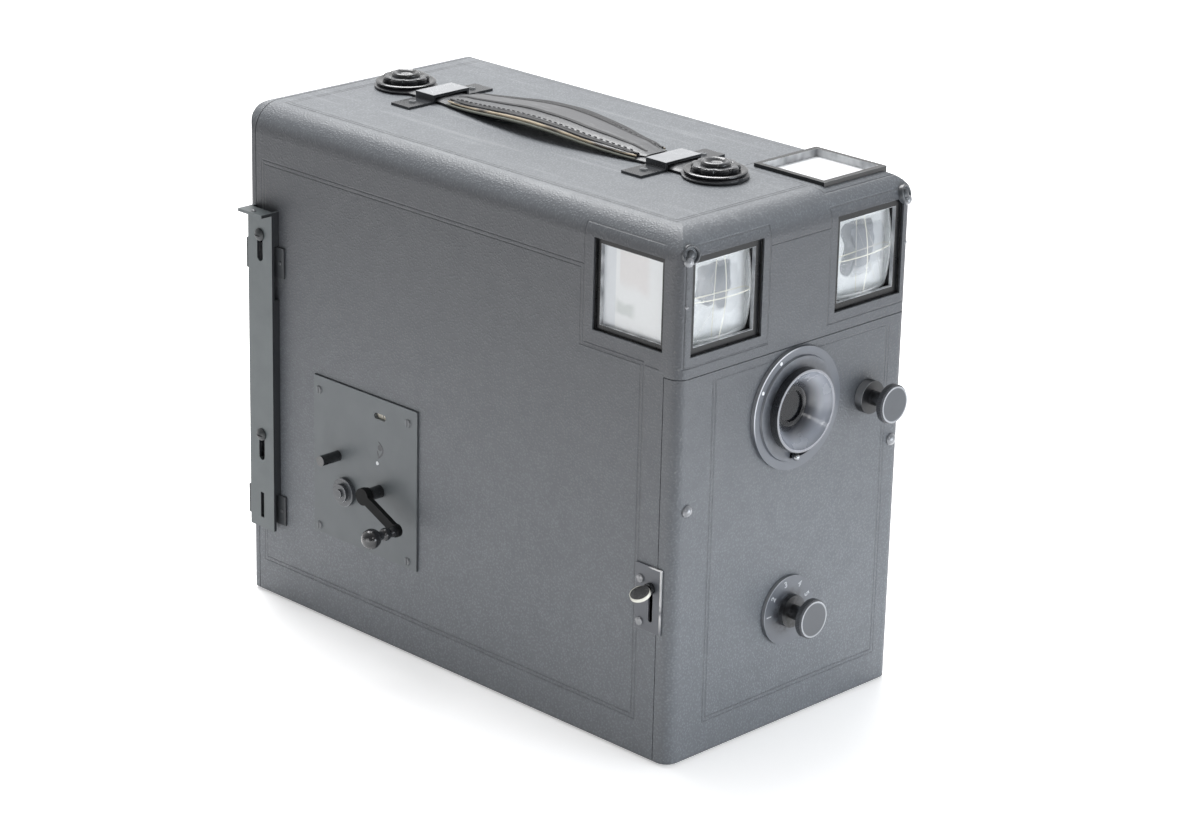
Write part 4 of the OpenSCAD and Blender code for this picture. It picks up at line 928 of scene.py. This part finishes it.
# %% Strap leather
def strap_leather(start):
    x, y, z = place(start)
    creases = noise(start, 0.5, 4.0, (1, 0.25, 1))
    fine = cells(start, 1.6)
    drift = noise(start, 0.06, 3.0)
    swell = (((y - MID).size() / GRIP_REACH).least(1.0) * (math.pi / 2)).maths("COSINE").most(0.001)
    u = x / (7.4 + 5.3 * swell.maths("POWER", 1.2)) + (creases - 0.5) * 0.12
    # Painted shade darkens the folds.
    shaded_folds = (u + 0.3).size().fade(0.13, 0.03).most((u + 0.86).size().fade(0.12, 0.03))
    shaded_folds = shaded_folds.most((u - 0.62).size().fade(0.1, 0.03)).most((u - 0.95).size().fade(0.16, 0.05))
    shaded_folds = shaded_folds * z.fade(202.6, 203.4)
    return {
        "Base Color": layered(
            drift.mix(linear(44, 45, 48), linear(74, 76, 80)),
            (creases.fade(0.55, 0.7) * 0.5, (104, 105, 108)),
            (shaded_folds * 0.9, (18, 18, 20)),
        ),
        "Roughness": 0.36 + drift * 0.2 + shaded_folds * 0.35,
        "Coat Weight": 0.25 - shaded_folds * 0.25,
        "Normal": bump(creases + (1.0 - fine) * 0.3 - shaded_folds * 1.2, 0.12),
    }


def raw_edge(start):
    fibre = noise(start, 0.9, 4.0, (1, 0.15, 1))
    dirt = noise(start, 0.05, 2.0).fade(0.52, 0.66)
    colour = layered(fibre.mix(linear(134, 122, 104), linear(200, 186, 162)), (dirt, (84, 78, 74)))
    return {"Base Color": colour, "Roughness": 0.7 + fibre * 0.2, "Normal": bump(fibre, 0.15)}


def pale_edge(start):
    fibre = noise(start, 0.7, 4.0, (1, 0.2, 1))
    return {"Base Color": fibre.mix(linear(78, 82, 76), linear(126, 128, 118)), "Roughness": 0.55 + fibre * 0.2}


def thread(start):
    twist = noise(start, 1.5, 2.0)
    return {"Base Color": twist.mix(linear(56, 56, 58), linear(92, 92, 94)), "Roughness": 0.6 + twist * 0.2}


def bead_leather(start):
    fine = noise(start, 0.6, 4.0)
    return {"Base Color": fine.mix(linear(24, 24, 26), linear(50, 51, 54)), "Roughness": 0.5 + fine * 0.2}


finish("strap_leather", strap_leather, Specular_IOR_Level=0.6, Coat_Roughness=0.25)
finish("bead_leather", bead_leather, Specular_IOR_Level=0.4)
finish("raw_edge", raw_edge)
finish("pale_edge", pale_edge)
finish("thread", thread)
print("strap leather, its raw and rolled edges and its thread")

# %% [markdown]
# The grip has two plies. Each is a loft: a section with rounded edges and a crowned middle, set up again
# and again along the strap. The lower ply is the whole strap, and the upper one ends in front of the
# bridges, where it thins out.


# %% Plies of the strap
def ply_top(u, low, thick, rise):
    """Height of a ply's upper face, where u runs from -1 to 1 across it."""
    return low + thick * (1 - abs(u) ** 6 * 0.45) + rise * (1 - u * u)


def ply(y0, y1, width, bottom, thick, crown, steps=90, across=18):
    """A strip of leather. width, bottom, thick and crown are functions of y; the crown is how far the
    middle stands up."""
    rings = []
    for i in range(steps + 1):
        y = y0 + (y1 - y0) * i / steps
        w, low = width(y), bottom(y)
        ring = []
        for k in range(across + 1):
            u = -1 + 2 * k / across
            ring.append((u * w, y, ply_top(u, low, thick(y), crown(y))))
        for k in range(across + 1):
            u = 1 - 2 * k / across
            ring.append((u * w, y, low + thick(y) * abs(u) ** 6 * 0.3))
        rings.append(ring)
    return skin(rings)


def grip_end(y):
    """1 in the grip and 0 at its two ends, where the upper ply thins out."""
    return min(1.0, max(0.0, (53.0 - abs(y - MID)) / 9.0))


def grip_width(y):
    return half_width(y) * (0.62 + 0.33 * math.sin(grip_end(y) * math.pi / 2))


def grip_foot(y):
    return FOOT + lift(y) + 1.75


def grip_thick(y):
    return 0.5 + 0.9 * grip_end(y)


lower = ply(-84.5, 104.5, half_width, lambda y: FOOT + lift(y), lambda y: 1.7, lambda y: 0.0, 150)
strap = piece("handle_strap_lower_ply", *lower, "case", "strap_leather", "leather")
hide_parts("handle_strap")
upper = ply(MID - 52.6, MID + 52.6, grip_width, grip_foot, grip_thick, grip_end, 90, 22)
piece("handle_grip_upper_ply", *upper, "case", "strap_leather", "leather")
print("two plies of", len(lower[0]), "and", len(upper[0]), "points")

# %% [markdown]
# Between the plies lie a pale edge, the raw edge of the leather and a dark roll. On top the leather has a
# rolled rim and two old creases. All of them are round lines along the grip, thinner at their ends, so
# one function makes them and each gets its own place.


# %% Edges and creases of the grip
def grip_top(y, u):
    """Height of the upper ply, where u runs from -1 to 1 across it."""
    return ply_top(u, grip_foot(y), grip_thick(y), grip_end(y))


def grip_line(name, look, radius, x_at, z_at):
    """A round line along the grip, such as a raw edge, a rolled edge or a crease."""
    around = [math.pi * k / 5 for k in range(10)]
    rings = []
    for i in range(101):
        y = MID - 50 + i
        r = radius * math.sin(math.pi * (0.04 + 0.92 * i / 100)) ** 0.35
        rings.append([(x_at(y) + r * math.cos(a), y, z_at(y) + r * 0.7 * math.sin(a)) for a in around])
    return piece(name, *skin(rings), "case", look, "leather")


def beside(sign, name, look, out, rise, radius):
    """A line along one side of the lower ply."""
    return grip_line(name, look, radius, lambda y: sign * (half_width(y) - out), lambda y: FOOT + lift(y) + rise)


def on_top(name, u, radius, wave):
    """A dark line on the upper ply that wanders a little, as a crease does."""

    def x_at(y):
        return u * grip_width(y) + wave * math.sin(y * 0.21 + u * 9) * math.sin(y * 0.083)

    return grip_line(name, "bead_leather", radius, x_at, lambda y: grip_top(y, u) - radius * 0.15)


for sign, word in ((-1, "left"), (1, "right")):
    beside(sign, "handle_pale_edge_" + word, "pale_edge", 0.2, 1.05, 0.9)
    beside(sign, "handle_raw_edge_" + word, "raw_edge", 0.8, 2.05, 0.85)
    beside(sign, "handle_roll_" + word, "bead_leather", 2.0, 2.75, 0.95)
    on_top("handle_rolled_rim_" + word, sign * 0.9, 1.35 if sign > 0 else 0.8, 0.35)
# The two creases are dark beads: their dark colour is painted shade in the folds of the grip.
on_top("handle_crease_left", -0.3, 1.05, 0.4)
on_top("handle_crease_right", 0.66, 0.6, 0.35)
print("edges, rolls, rims and creases on both sides")

# %% [markdown]
# The upper ply is sewn along both sides. Each stitch is a short spindle of thread that lies in the
# leather, so it is a small loft of its own, and all of them are one piece.

# %% Stitches
STITCHES, STITCH_U, THREAD = 34, 0.74, 0.26


def stitch(sign, y):
    """One stitch at that place along the strap: five rings, thin at both ends."""
    x, top = sign * grip_width(y) * STITCH_U, grip_top(y, STITCH_U) + 0.04
    rings = []
    for k in range(5):
        t = -1 + k / 2
        r = THREAD * math.sqrt(max(0.05, 1 - t * t * 0.9))
        around = [math.pi * m / 3 for m in range(6)]
        rings.append([(x + r * math.cos(a), y + t * 0.95, top + r * math.sin(a)) for a in around])
    return skin(rings)


places = [MID - 46 + i * 92 / (STITCHES - 1) for i in range(STITCHES)]
stitches = [stitch(sign, y) for sign in (-1, 1) for y in places]
piece("handle_stitches", *join(*stitches), "case", "thread", "leather")
print(len(stitches), "stitches")

# %% [markdown]
# The studs that hold the strap are stamped caps: a flat round base, a scalloped disc on it and a hollow
# button on top. Each is turned from a profile, and the disc's radius swings nine times on its way round.

# %% Stud caps
CAP_FOOT = 202.2
cap_base = [(0.2, 0), (11.4, 0), (11.75, 0.25), (11.7, 0.7), (11.2, 0.95), (10.4, 0.85), (9.6, 0.6), (0.2, 0.6)]
cap_disc = [(0.2, 0.5), (8.2, 0.5), (8.7, 0.9), (8.8, 2.1), (8.4, 2.65), (7.6, 2.85), (6.7, 2.75), (6.2, 2.5)]
cap_disc += [(0.2, 2.4)]
button = [(0.2, 2.3), (5.3, 2.3), (5.5, 2.7), (5.4, 3.5), (5.0, 3.95), (4.4, 4.1), (3.8, 3.95), (3.3, 3.4)]
button += [(2.8, 3.0), (0.2, 2.9)]


def scalloped(angle, r):
    """Scallops on the outer part of the disc."""
    return r * (1 + (0.12 * abs(math.cos(4.5 * angle)) ** 0.7 - 0.08 if r > 6.5 else 0))


caps = []
for y in STUDS:
    axis = ((0, y, CAP_FOOT), UP, RIGHT)
    caps += [turned(cap_base, axis), turned(cap_disc, axis, 144, scalloped), turned(button, axis)]
studs = piece("handle_stud_caps", *join(*caps), "case", "cap_metal", "black_metal")
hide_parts("handle_studs")
print("two stamped caps of three discs each")

# %% [markdown]
# The dial and the counter carry plain numbers. They could be painted by a shader, but digits are awkward
# in arithmetic. Blender's text gives good outlines, so each number is made as text, read back as a mesh,
# turned to its angle and set on its circle.


# %% Numbers
def numeral(text, size):
    """A plain number as flat faces, made from Blender's own outline letters."""
    curve = bpy.data.curves.new("numeral", "FONT")
    curve.body, curve.size, curve.align_x, curve.align_y = text, size, "CENTER", "CENTER"
    curve.extrude, curve.offset = 0.02, 0.09
    holder = bpy.data.objects.new("numeral", curve)
    bpy.context.scene.collection.objects.link(holder)
    bpy.context.view_layer.update()
    mesh = bpy.data.meshes.new_from_object(holder.evaluated_get(bpy.context.evaluated_depsgraph_get()))
    points = [v.co.copy() for v in mesh.vertices]
    faces = [tuple(p.vertices) for p in mesh.polygons]
    bpy.data.objects.remove(holder)
    bpy.data.curves.remove(curve)
    bpy.data.meshes.remove(mesh)
    return points, faces


def number_ring(texts, degrees, size, radius, stand):
    """Numbers round a circle with their feet to its middle. stand(across, high, rise) places a point."""
    numbers = []
    for text, angle in zip(texts, map(math.radians, degrees)):
        points, faces = numeral(text, size)
        turn = Matrix.Rotation(angle - math.pi / 2, 3, "Z")
        moved = []
        for p in points:
            q = turn @ Vector((p.x, p.y, 0))
            moved.append(stand(radius * math.cos(angle) + q.x, radius * math.sin(angle) + q.y, p.z))
        numbers.append((moved, faces))
    return join(*numbers)


print("numbers are made from text")

# %% [markdown]
# The dial has five numbers at the angles that the photograph shows, painted white and chipped. They ride
# on the dial's body, so they turn with its knob.

# %% Numbers on the dial
DIAL_OUT = -115.97  # y of the dial's face


def on_dial(across, high, rise):
    return (across, DIAL_OUT - rise, DIAL[1] + high)


dial_numbers = number_ring("12345", (181, 143, 101, 57, 20), size=3.3, radius=10.4, stand=on_dial)
piece("dial_numbers", *dial_numbers, "dial", "number_paint", "ivory")
print("five numbers on the dial")

# %% [markdown]
# A curved arrow by the locking knob says which way to turn it, and a white dot marks where the crank
# starts. On the real plate they are stamped and painted. Here the arrow is three raised strokes, thin at
# both ends, because a stroke that stands up a little catches light as a stamped one does.

# %% Arrow and starting mark
PLATE_OUT = -61.8  # x of the mechanism plate's face


def stroke(path, width, rise):
    """A raised line on the mechanism plate. path gives its (y, z) points."""
    rings = []
    last = len(path) - 1
    for i, (y, z) in enumerate(path):
        ahead, behind = path[min(i + 1, last)], path[max(i - 1, 0)]
        way = Vector((ahead[0] - behind[0], ahead[1] - behind[1])).normalized()
        side = Vector((-way.y, way.x)) * (width * (0.35 + 0.65 * math.sin(math.pi * i / last)))
        top = (PLATE_OUT - rise, y, z)
        rings.append([(PLATE_OUT, y - side.x, z - side.y), top, (PLATE_OUT, y + side.x, z + side.y)])
    return skin(rings)


bow = [(38.9 - 2.4 * math.sin(math.pi * i / 16), 83.0 - 6.4 * i / 16) for i in range(17)]
barbs = [[(37.2, 78.2), (38.3, 77.2), (38.9, 76.4)], [(39.6, 79.2), (39.2, 77.8), (38.9, 76.4)]]
arrow = [stroke(bow, 0.5, 0.14)] + [stroke(barb, 0.4, 0.12) for barb in barbs]
piece("turning_arrow", *join(*arrow), "case", "soft_black", "steel")
start_mark = dome((PLATE_OUT, 39.6, 74.2), OUT, BACK, 0.75, 0.2)
piece("start_mark", *start_mark, "case", "white_paint", "ivory")
print("an arrow of", len(arrow), "strokes and a white dot")

# %% [markdown]
# Heads of screws, rivets and nails show as small bright domes, and one profile turns them all. The solids
# carry them, so only the head is made. The nail at each upper front corner has a rolled ring round it.

# %% Screw heads, rivets and nails
screws = [dome((PLATE_OUT, -99.9, z), OUT, BACK, 1.7, 1.0) for z in (53.8, 70.2)]
piece("latch_screw_heads", *join(*screws), "case", "bright_dome", "steel")
rivets = [dome((-61.95, 95.4, z), OUT, BACK, 0.9, 0.4) for z in (38.5, 140.4)]
piece("hasp_rivets", *join(*rivets), "door", "hasp_grey", "steel")
tab_rivet = dome((-67.6, 104.0, 160.5), UP, RIGHT, 1.0, 0.5)
piece("thumb_tab_rivet", *tab_rivet, "bar", "bright_dome", "steel")

washer = [(2.1, -1.2), (3.5, -1.2), (3.6, 0.2), (3.4, 0.75), (3.0, 0.95), (2.6, 0.7), (2.35, 0.1)]
nails = []
for sign in (-1, 1):
    up = Vector((sign * 0.25, -0.93, 0.27)).normalized()
    side = Vector(UP).cross(up).normalized()
    at = Vector((sign * 56.4, -114.0, 192.2))
    nails += [turned(washer, (at, up, side), 48), dome(at - up * 0.4, up, side, 1.75, 1.5)]
piece("corner_nails", *join(*nails), "case", "knob_grey", "steel")
print(len(screws), "screw heads,", len(rivets) + 1, "rivets and", len(nails) // 2, "nails")

# %% [markdown]
# The counter is a card on a wheel behind a slot in the mechanism plate. It counts up to twelve, one for
# each plate in the magazine, and only one number shows at a time. The card and its numbers ride on the
# counter's body, which follows the crank.

# %% Counter
CARD_OUT, COUNTER_Y, COUNTER_Z = -60.07, 38.2, 80.7


def on_card(across, high, rise):
    return (CARD_OUT - rise, COUNTER_Y - across, COUNTER_Z + high)


counts = [str(k + 1) for k in range(12)]
clockwise = [90 - 30 * k for k in range(12)]
card_numbers = number_ring(counts, clockwise, size=1.8, radius=12.5, stand=on_card)
piece("counter_numbers", *card_numbers, "counter", "ink", "black_metal")
card = [(10.8, 0), (14.0, 0), (14.0, 0.45), (10.8, 0.45)]
card_axis = ((-59.6, COUNTER_Y, COUNTER_Z), OUT, BACK)
piece("counter_card", *turned(card, card_axis), "counter", "ivory", "ivory")
print(len(counts), "numbers on the counter's card")

# %% [markdown]
# Two small white dots are painted on the upper left of the lens flange. Each is a dome that is almost flat,
# because paint from a brush stands up a little.

# %% Marks on the flange
MARK_R, FLANGE_FACE = 21.2, -116.0
marks = []
for degrees in (117, 152):
    a = math.radians(degrees)
    at = (MARK_R * math.cos(a), FLANGE_FACE, LENS[1] + MARK_R * math.sin(a))
    marks.append(dome(at, FORWARD, RIGHT, 0.7, 0.12))
piece("flange_marks", *join(*marks), "front", "white_paint", "ivory")
print(len(marks), "marks on the flange")

# %% [markdown]
# Two bow springs press the plates forward. Their middles are riveted to the back door and their ends
# slide on the pusher plate, so they flatten when that plate is pushed back.
# A solid can't flatten, and neither do these: each is made here as one bent strip with a rivet, at rest, and rides on
# the back door.

# %% Bow springs
low, high = (Vector(corner) * 1000 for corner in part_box("pusher_springs"))
STRIP, PUSH = 0.6, 8.0  # thickness of the strip, and how far the plate is pushed
reach, half_bow, bow_mid = high.y - low.y, (high.z - low.z) / 2, (high.z + low.z) / 2
depth = reach - STRIP
bow_r = (half_bow**2 + depth**2) / (2 * depth)


def bow_section(w):
    """The strip's section, w to each side, with its corners taken off."""
    top = [(-w, -0.15), (-w + 0.2, 0), (w - 0.2, 0), (w, -0.15)]
    return top + [(w, -0.45), (w - 0.2, -STRIP), (-w + 0.2, -STRIP), (-w, -0.45)]


springs = []
for x in (-24.0, 24.0):
    rings = []
    for i in range(61):
        z = half_bow * (i / 30 - 1)
        y = high.y - bow_r + math.sqrt(bow_r**2 - z**2)
        w = 6.0 * min(1.0, 0.55 + (half_bow - abs(z)) / 12.0)
        rings.append([(x + a, y + b, bow_mid + z) for a, b in bow_section(w)])
    springs += [skin(rings), dome((x, high.y - STRIP, bow_mid), FORWARD, RIGHT, 2.2, 1.1)]
bows = piece("pusher_bow_springs", *join(*springs), "door", "spring_steel", "steel")
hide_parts("pusher_springs")
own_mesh(bows)
print("bow springs: %.1f mm deep at rest, %.1f mm pressed" % (reach, reach - PUSH))

# %% [markdown]
# The floor and the world are white, and the light is soft. The full white is shown to the camera, to
# mirrors and through glass alone, by the Light Path node. What lights the object is a dimmer room, so the
# colours stay as they are written, and the floor still takes the object's shadow.

# %% Floor and world
scene = bpy.context.scene
scene.view_settings.view_transform = "Standard"

floor_mesh = bpy.data.meshes.new("floor")
floor_mesh.from_pydata([(-4, -4, 0), (4, -4, 0), (4, 4, 0), (-4, 4, 0)], [], [(0, 1, 2, 3)])
floor = bpy.data.objects.new("floor", floor_mesh)
scene.collection.objects.link(floor)


def shown_ways(start):
    """1 for what the camera sees straight, in a mirror or through glass, and 0 for light on the object."""
    ways = start.node("LightPath").socket.node.outputs
    names = ("Is Camera Ray", "Is Glossy Ray", "Is Transmission Ray")
    return [Wire(start.tree, ways[name]) for name in names]


def floor_paint(start):
    speck = noise(start, 0.002, 2.0)
    straight, mirrored, through = shown_ways(start)
    glow = straight.most(mirrored).most(through).mix((0, 0, 0), (1, 1, 1))
    return {"Base Color": speck.mix((0.93, 0.93, 0.935), (0.95, 0.95, 0.955)), "Emission Color": glow}


floor_look = finish("floor", floor_paint, Roughness=0.9, Specular_IOR_Level=0.1, Emission_Strength=0.4)
floor_mesh.materials.append(floor_look)

world = bpy.data.worlds.new("studio")
scene.world = world
world.use_nodes = True
sky = Wire(world.node_tree)
straight, mirrored, through = shown_ways(sky)
seen = straight.most(mirrored).most(through)
# The room is darker on the side where the camera stands, so that glossy pieces show some shape.
room = sky.node("TexCoord", out="Generated").dot((0.72, 0.69, 0.0)).fade(-0.7, 0.6) * 0.75 + 0.22
strength = seen + (1.0 - seen) * room
mirrored = mirrored * (1.0 - straight)
strength = strength * (1.0 - mirrored) + mirrored * room
background = world.node_tree.nodes["Background"]
background.inputs["Color"].default_value = (1, 1, 1, 1)
world.node_tree.links.new(strength.socket, background.inputs["Strength"])
print("white floor and world")

# %% [markdown]
# Most of the light comes from above and from the front, so the left side stays the darkest, as in the
# photograph. Two small lamps close to the floor lift the lowest parts, as a white table does.


# %% Lamps
def soft_light(name, at, aim, size, watts, colour=(1.0, 1.0, 1.0)):
    """A round soft lamp that looks from one place at another, all in metres."""
    lamp = bpy.data.lights.new(name, "AREA")
    lamp.shape, lamp.size, lamp.energy, lamp.color = "DISK", size, watts, colour
    obj = bpy.data.objects.new(name, lamp)
    obj.location = at
    obj.rotation_euler = (Vector(at) - Vector(aim)).to_track_quat("Z", "Y").to_euler()
    scene.collection.objects.link(obj)


# name, place, what it looks at, size, watts and, where it isn't white, colour
lamps = [
    ("top_light", (0.35, 0.6, 1.4), (0, 0, 0.15), 1.1, 28.5),
    ("front_light", (0.6, -1.5, 0.35), (0, -0.1, 0.05), 0.8, 3.8, (0.84, 0.92, 1.0)),
    ("camera_side_light", (-0.64, -1.27, 0.82), (0, -0.118, 0.12), 0.25, 1.3),
    ("low_left_light", (-0.46, 0.0, 0.03), (-0.06, 0.0, 0.02), 0.3, 0.4),
    ("low_front_light", (0.05, -0.46, 0.03), (0.0, -0.11, 0.02), 0.3, 0.95, (0.88, 0.94, 1.0)),
]
for row in lamps:
    soft_light(*row)
print(len(lamps), "lamps")

# %% [markdown]
# The camera stands in front and to the left, a little above the box. Its place, its turn and its lens come
# from a fit of the box's corners in the photograph, so they are plain numbers.

# %% Camera
CAMERA_AT = (-0.903993, -0.900992, 0.552827)
LENS_MM, SENSOR_MM = 106.56, 36.0
camera = bpy.data.objects.new("camera", bpy.data.cameras.new("camera"))
right, up, back = (0.7047, -0.70914, 0.02284), (0.22777, 0.25659, 0.9393), (-0.67195, -0.65672, 0.34234)
turn = Matrix((right, up, back)).transposed().to_4x4()
camera.matrix_world = Matrix.Translation(CAMERA_AT) @ turn
camera.data.lens, camera.data.sensor_width = LENS_MM, SENSOR_MM
camera.data.clip_start, camera.data.clip_end = 0.05, 20
scene.collection.objects.link(camera)
scene.camera = camera
print("camera with a lens of", LENS_MM, "mm")
